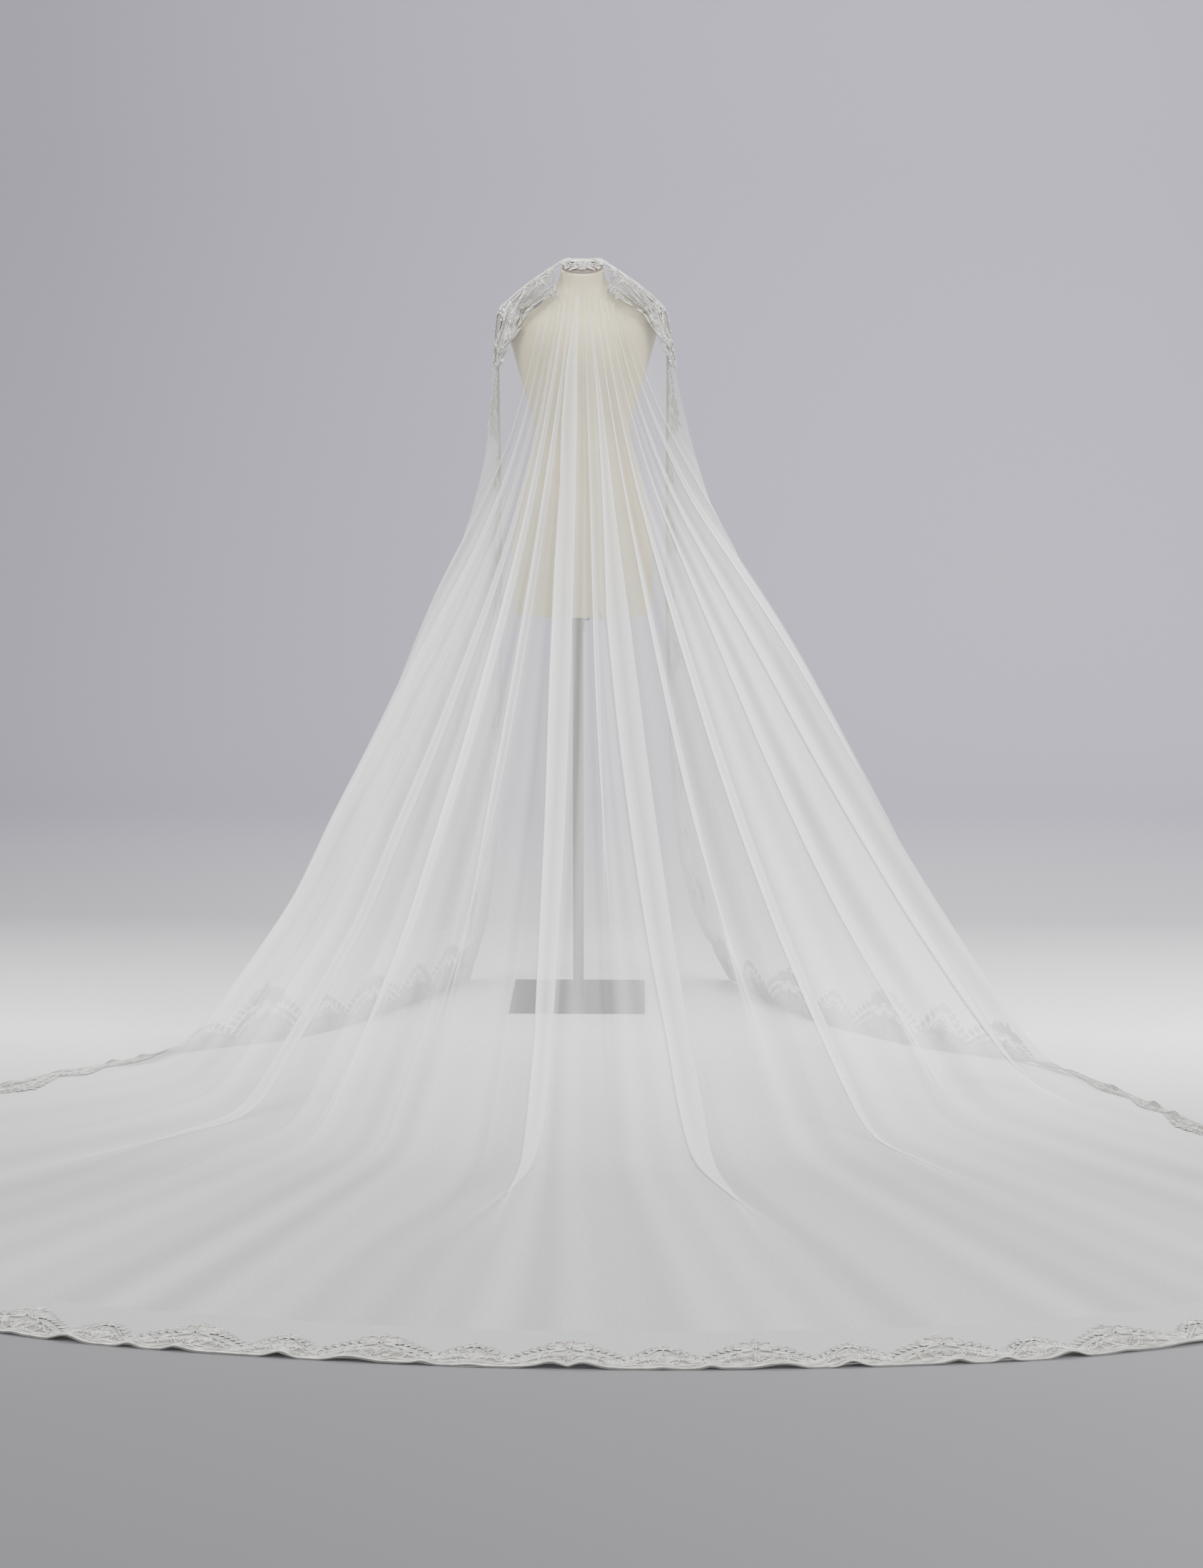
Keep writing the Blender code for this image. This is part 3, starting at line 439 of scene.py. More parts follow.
# soft ridges: place across, half width, height, share of the length where it dies out
ridges = (
    (-0.86, 1.1, 0.011, 0.90),
    (-0.71, 1.0, 0.013, 0.88),
    (-0.56, 1.3, 0.014, 0.86),
    (-0.41, 1.5, 0.016, 0.90),
    (-0.27, 1.0, 0.012, 0.82),
    (-0.12, 1.4, 0.016, 0.88),
    (0.06, 1.0, 0.010, 0.76),
    (0.20, 1.3, 0.015, 0.86),
    (0.35, 1.0, 0.012, 0.80),
    (0.50, 1.3, 0.013, 0.84),
    (0.65, 1.2, 0.014, 0.88),
    (0.80, 1.1, 0.012, 0.90),
)
ridgeScale = ((0.0, 0.026), (0.3, 0.026), (0.65, 0.0125), (1.0, 0.008))

drape = {"lines": 361, "linePoints": 181, "shelfPoints": 10, "probe": 0.003, "sideAcross": 0.71,
         "chestGap": 0.012, "chestRound": 0.8, "chestFade": 0.12, "formLow": 0.9245, "neckLow": 1.66,
         "lineBlend": 30, "edgeBlend": 8, "bendBlend": 12, "slantMost": 1.7,
         "ridgeGrowth": 0.30, "ridgeFade": 0.25}
border = {"frame": 0.170, "repeatsPerHalf": 19.5, "valley": 0.034, "large": 0.120, "largeSpan": 0.50,
          "small": 0.098, "smallSpan": 0.44, "ruffle": 0.020, "ruffleShare": 0.10, "ruffleSharp": 1.4,
          "ruffleSpread": 1.6,
          "edgeWave": 0.006, "peaks": 2.7, "peak": 0.012, "peakSharp": 2.8, "peakSpread": 5.0}


def chestFront(x, height):
    rows = np.array(formSections)
    halfWidth, front = (np.interp(height, rows[:, 0], rows[:, column]) for column in (1, 2))
    offset = abs(x - formX) / halfWidth
    held = min(offset, drape["chestRound"])
    depth = math.sqrt(1 - held ** 2)
    return front * (held * (offset - held) / depth - depth)


def hangLine(across):
    side = abs(across)
    hand = 1 if across >= 0 else -1
    edgeX, edgeY, edgeZ, shelfX, shelfY, shelfZ = readSmooth(shoulderLine, side)
    contactX, contactY, hemX, hemY = readSmooth(floorLine, across)
    edgeLow = floorLine[-1 if hand > 0 else 0][2]
    shelf = np.array((formX + hand * shelfX, shelfY, shelfZ))
    toSide = smoothStep(side / drape["sideAcross"])
    toEdge = smoothStep((side - drape["sideAcross"]) / (1 - drape["sideAcross"]))
    points = [np.array((formX + hand * edgeX, edgeY, edgeZ)), shelf]
    for share, front, left, right, edgeOut, edgeBack in fallLine[1:]:
        reach = front + ((right if hand > 0 else left) - front) * toSide
        out = reach + (edgeOut - reach) * toEdge
        back = (edgeLow - shelf[1]) * edgeBack * (1 - edgeOut)
        back += (contactY - shelf[1]) * edgeOut
        along = (contactY - shelf[1]) * reach
        points.append(np.array((shelf[0] + (contactX - shelf[0]) * out,
                                shelf[1] + along + (back - along) * toEdge, shelf[2] * share)))
    points.append(np.array((hemX, hemY, 0.0)))
    top = spreadEvenly(points[:2], drape["shelfPoints"])
    fall = spreadEvenly(points[1:], drape["linePoints"] - drape["shelfPoints"] + 1)
    held = np.clip(np.arange(len(fall)) / drape["bendBlend"], 0, 1)[1:-1, None]
    for n in range(drape["bendBlend"]):
        middle = 0.25 * fall[:-2] + 0.5 * fall[1:-1] + 0.25 * fall[2:]
        fall[1:-1] += (middle - fall[1:-1]) * held
    fall = spreadEvenly(fall, len(fall))
    overChest = smoothStep((drape["sideAcross"] - side) / drape["chestFade"])
    for spot in fall:
        if drape["formLow"] < spot[2] < drape["neckLow"]:
            lack = spot[1] - (chestFront(spot[0], spot[2]) - drape["chestGap"])
            spot[1] -= max(lack, 0.0) * overChest
    line = np.vstack((top[:-1], fall))
    line[:, 2] += tulleThick / 2
    return line


lineAcross = np.linspace(-1, 1, drape["lines"])
clothLines = smoothRow([hangLine(across) for across in lineAcross], drape["lineBlend"])


def cubicWeights(t):
    return (0.5 * (-t ** 3 + 2 * t ** 2 - t), 0.5 * (3 * t ** 3 - 5 * t ** 2 + 2),
            0.5 * (-3 * t ** 3 + 4 * t ** 2 + t), 0.5 * (t ** 3 - t ** 2))


def bareCloth(across, share):
    # the cloth without folds at arrays of shares across, -1 to 1, and along, 0 to 1
    over = (np.clip(across, -1, 1) + 1) / 2 * (drape["lines"] - 1)
    down = np.clip(share, 0, 1) * (drape["linePoints"] - 1)
    column = np.clip(over.astype(int), 0, drape["lines"] - 2)
    row = np.clip(down.astype(int), 0, drape["linePoints"] - 2)
    total = np.zeros(over.shape + (3,))
    for i, weight in enumerate(cubicWeights(over - column)):
        columns = np.clip(column + i - 1, 0, drape["lines"] - 1)
        for j, other in enumerate(cubicWeights(down - row)):
            rows = np.clip(row + j - 1, 0, drape["linePoints"] - 1)
            total += (weight * other)[..., None] * clothLines[columns, rows]
    return total


def clothSlopes(across, share):
    probe = drape["probe"]
    low, high = np.maximum(across - probe, -1), np.minimum(across + probe, 1)
    over = (bareCloth(high, share) - bareCloth(low, share)) / (high - low)[..., None]
    low, high = np.maximum(share - probe, 0), np.minimum(share + probe, 1)
    down = (bareCloth(across, high) - bareCloth(across, low)) / (high - low)[..., None]
    return over, down


def clothOutward(across, share):
    over, down = clothSlopes(across, share)
    normal = np.cross(down, over)
    return normal / np.maximum(np.linalg.norm(normal, axis=-1), 1e-9)[..., None]


def hemDepth(across):
    over, down = clothSlopes(np.array([across]), np.array([1 - drape["probe"]]))
    over, down = over[0] / np.linalg.norm(over[0]), down[0]
    square = np.linalg.norm(down - over * (down @ over))
    return max(square, np.linalg.norm(down) / drape["slantMost"])


def dropInset(hand, share):
    places = np.linspace(1.0, 0.0, 81)
    run = runAlong(bareCloth(hand * places, np.full(81, share)))
    return float(np.interp(border["frame"], run, places))


topIn = np.array([np.interp(border["frame"], runAlong(line), np.linspace(0, 1, drape["linePoints"]))
                  for line in clothLines])
hemIn = smoothRow([1 - border["frame"] / hemDepth(across) for across in lineAcross], drape["edgeBlend"])
dropRows = np.linspace(0.02, 0.98, 49)
dropIn = {hand: smoothRow([dropInset(hand, share) for share in dropRows], drape["edgeBlend"])
          for hand in (1, -1)}


def dropShare(place, share):
    return np.where(place >= 0, np.interp(share, dropRows, dropIn[1]), np.interp(share, dropRows, dropIn[-1]))


def bodySpot(place, row):
    # the cloth inside its border: place across, -1 to 1, and row, 0 to 1
    across = place * dropShare(place, np.zeros_like(place))
    for n in range(6):
        high = np.interp(across, lineAcross, topIn)
        low = np.interp(across, lineAcross, hemIn)
        share = high + (low - high) * row
        across = place * dropShare(place, share)
    return across, share


def ridgeHeight(place, share):
    scale = np.interp(share, *np.array(ridgeScale).T)
    height = np.zeros_like(place)
    for center, width, peak, end in ridges:
        offset = np.abs(place - center) / (width * scale)
        grow = smoothStep(share / drape["ridgeGrowth"])
        grow = grow * (1 - smoothStep((share - end) / drape["ridgeFade"] + 1))
        height += peak * grow * np.clip(1 - offset * offset, 0, 1) ** 2
    return height


def scallopWidth(phase):
    turn = phase % 1.0
    fromSmall = np.minimum(turn, 1 - turn)
    small = np.maximum(0.0, np.cos(math.pi * fromSmall / border["smallSpan"]))
    large = np.maximum(0.0, np.cos(math.pi * (turn - 0.5) / border["largeSpan"]))
    return np.where(fromSmall < 0.25, border["valley"] + (border["small"] - border["valley"]) * small,
                    border["valley"] + (border["large"] - border["valley"]) * large)


def ruffleHeight(phase, stands):
    turn = 2 * math.pi * phase
    uneven = 0.68 + 0.32 * np.sin(0.37 * turn + 1.3)
    wave = 0.5 - 0.5 * np.cos(turn + 0.9 * np.sin(0.21 * turn))
    height = border["edgeWave"] + (border["ruffle"] - border["edgeWave"]) * np.maximum(stands, 0.0)
    return height * uneven * wave ** border["ruffleSharp"]


def peakHeight(phase, stands):
    turn = 2 * math.pi * phase
    drift = 1.3 * np.sin(0.53 * turn) + 0.9 * np.sin(1.31 * turn + 2.0)
    wave = 0.5 - 0.5 * np.cos(border["peaks"] * turn + drift)
    uneven = 0.55 + 0.27 * np.sin(0.83 * turn + 0.6) + 0.18 * np.sin(1.73 * turn)
    uneven = np.maximum(uneven, 0.12)
    return border["peak"] * np.maximum(stands, 0.0) * uneven * wave ** border["peakSharp"]


print("cloth form laid out")


# cross lines of the border, each from a spot on the edge to its spot inside

def edgeTables(hand):
    # one half of the edge from the middle of the upper edge down to the middle of the hem
    reach = np.linspace(0.0, 1.0, 161)
    ones = np.ones_like(reach)
    sides = {"top": (hand * reach, 0 * ones), "drop": (hand * ones, reach), "hem": (hand * (1 - reach), ones)}
    tables = {}
    before = 0.0
    for name, (across, share) in sides.items():
        run = runAlong(bareCloth(across, share))
        tables[name] = (reach, before + run)
        before += run[-1]
    return tables, before


edges = {hand: edgeTables(hand) for hand in (-1, 1)}


def crossLines(hand, side, reach, knot):
    # arrays for cross lines at shares of one side, and where the bend over the cap or shoulder lies
    tables, whole = edges[hand]
    run = np.interp(reach, *tables[side])
    ones = np.ones_like(reach)
    across, share = {"top": (hand * reach, 0 * ones), "drop": (hand * ones, reach),
                     "hem": (hand * (1 - reach), ones)}[side]
    innerAcross, innerShare = bodySpot(across, share)
    shelf = np.array([np.linalg.norm(row[3:] - row[:3])
                      for row in (readSmooth(shoulderLine, min(abs(spot), 1.0)) for spot in across)])
    bend = (drape["shelfPoints"] - 1) / (drape["linePoints"] - 1) / innerShare
    if side == "drop":
        fade = smoothStep(reach / 0.12)
        high = bend[np.argmin(reach)]
        bend = high + (knot - high) * fade
    elif side == "hem":
        bend = np.full_like(reach, knot)
    return {"outer": (across, share), "inner": (innerAcross, innerShare), "run": hand * run,
            "phase": run / (whole / border["repeatsPerHalf"]), "shelf": shelf, "bend": bend,
            "stands": clothOutward(across, share)[..., 2]}


def borderPoints(cross, into):
    # points on cross lines at shares of the way in, one row of shares for each line
    outer, inner = cross["outer"], cross["inner"]
    across = outer[0][:, None] + (inner[0] - outer[0])[:, None] * into
    share = outer[1][:, None] + (inner[1] - outer[1])[:, None] * into
    place = across / dropShare(across, share)
    lift = ridgeHeight(place, share)
    wave = border["ruffleShare"] * ruffleHeight(cross["phase"], cross["stands"])
    lift += wave[:, None] * (1 - into) ** border["ruffleSpread"]
    # sharp small waves, only where the edge is near the floor
    low = smoothStep((share[:, :1] - 0.7) / 0.2)
    lift += peakHeight(cross["phase"], cross["stands"])[:, None] * low * (1 - into) ** border["peakSpread"]
    return bareCloth(across, share) + clothOutward(across, share) * lift[..., None]


# the tulle

# pleats that run down from the cap: place and width when flat, layer height, share where it dies out,
# and for the two broad ones rows of share, left and right edge
pleats = (
    (-0.88, 0.016, 0.0014, 0.70, ()),
    (-0.75, 0.024, 0.0018, 0.78, ()),
    (-0.62, 0.018, 0.0018, 0.66, ()),
    (-0.50, 0.026, 0.0022, 0.84, ()),
    (-0.38, 0.018, 0.0020, 0.72, ()),
    (-0.25, 0.018, 0.0020, 0.62, ()),
    (-0.10, 0.050, 0.0026, 0.86, ((0.05, -0.070, -0.058), (0.08, -0.150, -0.062), (0.12, -0.210, -0.062),
                                  (0.16, -0.195, -0.040), (0.22, -0.140, -0.032), (0.30, -0.118, -0.032),
                                  (0.45, -0.092, -0.034), (0.60, -0.072, -0.040), (1.00, -0.064, -0.046))),
    (0.07, 0.014, 0.0018, 0.55, ()),
    (0.18, 0.036, 0.0026, 0.86, ((0.05, 0.130, 0.138), (0.09, 0.158, 0.180), (0.14, 0.166, 0.214),
                                 (0.22, 0.140, 0.207), (0.30, 0.118, 0.218), (0.45, 0.140, 0.208),
                                 (0.60, 0.158, 0.196), (1.00, 0.164, 0.184))),
    (0.31, 0.014, 0.0018, 0.62, ()),
    (0.41, 0.020, 0.0022, 0.80, ()),
    (0.53, 0.018, 0.0020, 0.70, ()),
    (0.65, 0.026, 0.0022, 0.84, ()),
    (0.78, 0.020, 0.0018, 0.74, ()),
    (0.89, 0.014, 0.0014, 0.66, ()),
)
bandScale = ((0.05, 0.15), (0.09, 0.7), (0.15, 1.3), (0.30, 1.5), (0.50, 1.0), (1.00, 0.55))

# one pleat's cross section: along the band, 0 to 1 between its edges, height in layers, extra cover
pleatShape = (
    (-0.3, 0.00, 0.0), (0.0, 0.00, 0.0), (0.5, 0.00, 0.0), (0.92, 0.06, 0.2), (1.00, 0.5, 1.0),
    (0.92, 0.94, 0.2), (0.5, 1.00, 0.0), (0.08, 1.06, 0.2), (0.00, 1.5, 1.0), (0.08, 1.94, 0.2),
    (0.5, 2.00, 0.0), (0.9, 1.90, 0.0), (1.15, 1.10, 0.0), (1.3, 0.30, 0.0), (1.45, 0.00, 0.0),
)

# covers are how close the net looks: coverRows at shares of the length, floorCover where it lies on the floor,
# bendCover more at a pleat's bend and wingCover the share more at both sides
tulleCut = {"columnStep": 0.012, "rows": 96, "strips": 13, "bendStrips": 8, "length": 3.1,
            "bendCover": 0.95, "streaks": 0.30, "wingCover": 0.50, "floorCover": 0.34, "floorHeight": 0.16,
            "pleatStart": 0.045, "pleatFadeIn": 0.022, "pleatFadeOut": 0.22,
            "coverRows": ((0.00, 0.12), (0.06, 0.12), (0.12, 0.17), (0.20, 0.23), (0.35, 0.27),
                          (0.60, 0.28), (1.00, 0.36))}


def netCover(share, height, place):
    onFloor = smoothStep((tulleCut["floorHeight"] - height) / 0.15)
    wing = smoothStep((np.abs(place) - 0.22) / 0.4) * smoothStep((share - 0.12) / 0.2)
    cover = np.interp(share, *np.array(tulleCut["coverRows"]).T) * (1 + tulleCut["wingCover"] * wing)
    return cover + (tulleCut["floorCover"] - cover) * onFloor, onFloor


def bandEdges(pleat, share):
    center, width, layer, end, rows = pleat
    if rows:
        keys = np.array(rows)
        return np.interp(share, keys[:, 0], keys[:, 1]), np.interp(share, keys[:, 0], keys[:, 2])
    half = 0.5 * width * np.interp(share, *np.array(bandScale).T)
    return center - half, center + half


def makeColumns():
    # every column of the cloth: its place when flat, then where in a pleat it is, its height, extra cover
    columns = []
    dense = np.linspace(-1, 1, 2001)
    hemRun = runAlong(bareCloth(dense, np.ones_like(dense)))

    def fill(low, high):
        length = np.interp(high, dense, hemRun) - np.interp(low, dense, hemRun)
        count = max(2, int(round(length / tulleCut["columnStep"])))
        for place in low + (high - low) * np.arange(1, count) / count:
            columns.append((place, 0.0, 0.0, 0.0, 0))

    columns.append((-1.0, 0.0, 0.0, 0.0, 0))
    before = -1.0
    spread = np.linspace(-1.2, 1.7, len(pleatShape))
    for number, (center, width, layer, end, rows) in enumerate(pleats):
        fill(before, center + spread[0] * width)
        for flat, (x, height, cover) in zip(spread, pleatShape):
            columns.append((center + flat * width, x, height * layer, cover, number + 1))
        before = center + spread[-1] * width
    fill(before, 1.0)
    columns.append((1.0, 0.0, 0.0, 0.0, 0))
    return np.array(columns)


def buildTulle():
    # the body, a grid of columns from the cap to the hem, folded at the pleats
    columns = makeColumns()
    count = len(columns)
    rowShare = np.linspace(0, 1, tulleCut["rows"])
    rows = 0.62 * rowShare + 0.38 * rowShare ** 2
    flat, inBand, height, extra, pleat = columns.T
    pleat = pleat.astype(int)
    ends = np.array([1.0] + [row[3] for row in pleats])[pleat]
    shareGuess = bodySpot(np.repeat(flat[:, None], len(rows), 1), np.repeat(rows[None], count, 0))[1]
    grown = smoothStep((shareGuess - tulleCut["pleatStart"]) / tulleCut["pleatFadeIn"])
    grown = grown * (1 - smoothStep((shareGuess - ends[:, None]) / tulleCut["pleatFadeOut"] + 1))
    folded = np.repeat(flat[:, None], len(rows), 1)
    anchors = [0]
    for number, row in enumerate(pleats):
        mine = np.flatnonzero(pleat == number + 1)
        low, high = bandEdges(row, shareGuess[mine[0]])
        folded[mine] += ((low + (high - low) * inBand[mine][:, None]) - folded[mine]) * grown[mine]
        anchors += [mine[0], mine[-1]]
    anchors.append(count - 1)
    plain = np.flatnonzero(pleat == 0)
    for row in range(len(rows)):
        folded[plain, row] = np.interp(flat[plain], flat[anchors], folded[anchors, row])
    across, share = bodySpot(folded, np.repeat(rows[None], count, 0))
    lift = ridgeHeight(folded, share) + height[:, None] * grown
    body = bareCloth(across, share) + clothOutward(across, share) * lift[..., None]
    body[..., 2] = np.maximum(body[..., 2], tulleThick / 2)

    # thin by the cap, closer lower down and on the floor, most at the pleats' bends
    streak = 1 + tulleCut["streaks"] * (np.sin(flat * 61 + 2 * np.sin(flat * 23)) * 0.6
                                        + np.sin(flat * 137 + 1.7) * 0.4)
    # the cover also sets the net's painted shade, greyer where it is thin, as on the floor
    cover, onFloor = netCover(share, body[..., 2], folded)
    cover = cover * (1 + (streak[:, None] - 1) * (1 - 0.6 * onFloor))
    cover += tulleCut["bendCover"] * extra[:, None] * grown * (1 - 0.8 * onFloor)

    points = [body.reshape(-1, 3)]
    covers = [cover.reshape(-1)]
    hemRun = runAlong(bareCloth(flat, np.ones_like(flat)))
    cut = np.stack(np.meshgrid(hemRun, rows * tulleCut["length"], indexing="ij"), -1)
    cuts = [cut.reshape(-1, 2)]
    index = np.arange(count * len(rows)).reshape(count, len(rows))
    faces = [gridFaces(index)]

    # the border goes round the body: along the hem, up the right drop, back over the top, down the left
    strips, bendStrips = tulleCut["strips"], tulleCut["bendStrips"]
    knot = bendStrips / strips
    left = np.flatnonzero(flat < 0)
    right = np.flatnonzero(flat >= 0)
    ring = []
    for side, hand, reach, spots in (
            ("hem", -1, 1 + flat[left], index[left, -1]), ("hem", 1, 1 - flat[right], index[right, -1]),
            ("drop", 1, rows[::-1], index[-1, ::-1]), ("top", 1, flat[right][::-1], index[right, 0][::-1]),
            ("top", -1, -flat[left][::-1], index[left, 0][::-1]), ("drop", -1, rows, index[0, :])):
        cross = crossLines(hand, side, reach, knot)
        first = np.arange(bendStrips) / bendStrips
        rest = np.arange(strips - bendStrips) / (strips - bendStrips)
        bend = cross["bend"][:, None]
        into = np.hstack((bend * first, bend + (1 - bend) * rest))
        spotsOut = borderPoints(cross, into)
        spotsOut[..., 2] = np.maximum(spotsOut[..., 2], tulleThick / 2)
        shareOut = cross["outer"][1][:, None] + (cross["inner"][1] - cross["outer"][1])[:, None] * into
        ring.append((spotsOut, shareOut, spots, cross))
    keep = []
    for number, (spotsOut, shareOut, spots, cross) in enumerate(ring):
        # neighbouring sides share their corner's line, which the first of them keeps
        same = number > 0 and ring[number - 1][2][-1] == spots[0]
        last = number == len(ring) - 1
        keep.append(slice(1 if same else 0, -1 if last else None))
    outPoints = np.concatenate([item[0][cutSlice] for item, cutSlice in zip(ring, keep)])
    outShare = np.concatenate([item[1][cutSlice] for item, cutSlice in zip(ring, keep)])
    outSpots = np.concatenate([item[2][cutSlice] for item, cutSlice in zip(ring, keep)])
    base = len(points[0])
    outIndex = base + np.arange(outPoints.shape[0] * strips).reshape(-1, strips)
    full = np.hstack((outIndex, outSpots[:, None]))
    after = np.roll(full, -1, axis=0)
    faces.append(np.stack((full[:, :-1], after[:, :-1], after[:, 1:], full[:, 1:]), -1).reshape(-1, 4))
    points.append(outPoints.reshape(-1, 3))
    covers.append(netCover(outShare, outPoints[..., 2], np.ones_like(outShare) * 0.6)[0].reshape(-1))
    outRun = runAlong(outPoints[:, 0])
    outCut = np.stack(np.broadcast_arrays(outRun[:, None], 4 + np.linspace(0, 0.17, strips)[None]), -1)
    cuts.append(outCut.reshape(-1, 2))

    mesh = bpy.data.meshes.new("tulleVeil")
    mesh.from_pydata(np.concatenate(points).tolist(), [], np.concatenate(faces).tolist())
    painted = mesh.attributes.new("netCover", "FLOAT", "POINT")
    painted.data.foreach_set("value", np.clip(np.concatenate(covers), 0.05, 0.95).astype(np.float32))
    uv = mesh.uv_layers.new(name="cut")
    corners = np.zeros(len(mesh.loops), np.int32)
    mesh.loops.foreach_get("vertex_index", corners)
    uv.data.foreach_set("uv", np.concatenate(cuts)[corners].astype(np.float32).ravel())
    mesh.shade_smooth()
    mesh.materials.append(tulleMaterial)
    piece = newPiece(mesh)
    print("tulle", triangleCount(piece), "triangles, area", sum(face.area for face in mesh.polygons))
    return piece


tulle = buildTulle()
print("tulle sewn")


# the lace: a chart of the border, metres along the edge by metres in from it

laceLook = {"step": 0.004, "widths": 56, "deepest": 0.166, "lift": 0.0012, "groundThick": 0.0004,
            "shoulderStretch": 1.30, "slipBlend": 30, "slipMost": 0.06,
            "repeat": 0.30, "cordStep": 0.004, "edgeBeadStep": 0.0026, "gap": 0.0002,
            "stemRadius": 0.00125, "stemBead": 0.0013, "leafCord": 0.0013, "sprayCord": 0.0011,
            "veinRadius": 0.0007, "padDome": 0.0009, "innerBead": 0.0014, "innerBeadStep": 0.0105}
# the ground's width: least, and shares of the scallop's depth, all over and more at the shoulders
groundShape = {"least": 0.020, "share": 0.40, "shoulderShare": 0.34, "onCap": 0.013}

# the hem's stretches, each up to a place across
stretches = (("left_side", -0.785), ("left_front", -0.34), ("centre_left", -0.03), ("centre_right", 0.425),
             ("right_front", 0.725), ("right_side", 1.01))


def makeChart():
    shelfEnd = np.array(shoulderLine[-1])
    shelfEnd = float(np.linalg.norm(shelfEnd[4:7] - shelfEnd[1:4]))
    widths = np.linspace(0.0, laceLook["deepest"], laceLook["widths"])
    halves = {}
    for hand in (-1, 1):
        runs, points, outward, names, phases = [], [], [], [], []
        for side in ("top", "drop", "hem"):
            reach, run = edges[hand][0][side]
            count = int(round((run[-1] - run[0]) / laceLook["step"]))
            wanted = np.interp(np.linspace(run[0], run[-1], count + 1), run, reach)
            cross = crossLines(hand, side, wanted, shelfEnd / border["frame"])
            shelf = cross["shelf"] if side == "top" else np.full(len(wanted), shelfEnd)
            bend = cross["bend"]
            near = widths[None] / shelf[:, None] * bend[:, None]
            past = (widths[None] - shelf[:, None]) / (border["frame"] - shelf[:, None])
            into = np.where(widths[None] < shelf[:, None], near, bend[:, None] + (1 - bend[:, None]) * past)
            start = 0 if side == "top" else 1
            runs.append(cross["run"][start:])
            points.append(borderPoints(cross, into)[start:])
            outward.append(clothOutward(*cross["outer"])[start:])
            phases.append(cross["phase"][start:])
            place = cross["outer"][0] / dropShare(cross["outer"][0], cross["outer"][1])
            for spot in place[start:]:
                if side == "top":
                    names.append("lace_top")
                elif side == "drop":
                    names.append("lace_drop_" + ("right" if hand > 0 else "left"))
                else:
                    names.append("lace_hem_" + next(name for name, end in stretches if spot < end or end > 1))
        halves[hand] = [np.concatenate(runs), np.concatenate(points), np.concatenate(outward),
                        np.concatenate(phases), names]
    left, right = halves[-1], halves[1]
    joined = [np.concatenate((one[::-1], other[1:])) for one, other in zip(left[:4], right[:4])]
    names = left[4][::-1] + right[4][1:]
    runs, points, outward, phases = joined
    points[..., 2] = np.maximum(points[..., 2], tulleThick / 2)
    normals = np.cross(np.gradient(points, axis=0), np.gradient(points, axis=1))
    normals /= np.maximum(np.linalg.norm(normals, axis=-1), 1e-12)[..., None]
    normals *= np.sign((normals[:, 0] * outward).sum(-1))[:, None, None]
    along = np.gradient(points, runs, axis=0)
    inward = np.gradient(points, widths, axis=1)
    lean = (along * inward).sum(-1) / np.maximum((along * along).sum(-1), 1e-9)
    slip = smoothRow(-np.cumsum(lean, axis=1) * (widths[1] - widths[0]), laceLook["slipBlend"])
    slip = np.clip(slip, -laceLook["slipMost"], laceLook["slipMost"])
    return {"runs": runs, "points": points, "normals": normals, "phases": phases, "names": names,
            "slip": slip[..., None], "whole": runs[-1] - runs[0]}


chart = makeChart()


def readChart(name, run, width):
    run = (run - chart["runs"][0]) % chart["whole"] + chart["runs"][0]
    over = np.interp(run, chart["runs"], np.arange(len(chart["runs"])))
    down = np.clip(width / laceLook["deepest"], 0, 1) * (laceLook["widths"] - 1)
    column = np.clip(over.astype(int), 0, len(chart["runs"]) - 2)
    row = np.clip(down.astype(int), 0, laceLook["widths"] - 2)
    a, b = (over - column)[:, None], (down - row)[:, None]
    grid = chart[name]
    high = grid[column, row] * (1 - a) + grid[column + 1, row] * a
    low = grid[column, row + 1] * (1 - a) + grid[column + 1, row + 1] * a
    return high * (1 - b) + low * b


def onCloth(spots):
    # array of (run, width, lift) to points on the cloth
    slip = readChart("slip", spots[:, 0], spots[:, 1])[:, 0]
    normal = readChart("normals", spots[:, 0] + slip, spots[:, 1])
    normal /= np.maximum(np.linalg.norm(normal, axis=1), 1e-9)[:, None]
    return readChart("points", spots[:, 0] + slip, spots[:, 1]) + normal * spots[:, 2:3]


def laceRanges():
    # each piece of lace with the run where it starts and ends, past the last run where it wraps
    names = chart["names"][:-1]
    count = len(names)
    start = next(n for n in range(count) if names[n] != names[n - 1])
    found = []
    for step in range(count):
        spot = (start + step) % count
        run = chart["runs"][spot] + (chart["whole"] if spot < start else 0.0)
        if not found or found[-1][0] != names[spot]:
            found.append([names[spot], run, run])
            if len(found) > 1:
                found[-2][2] = run
        found[-1][2] = run
    found[-1][2] = chart["runs"][start] + chart["whole"]
    return found


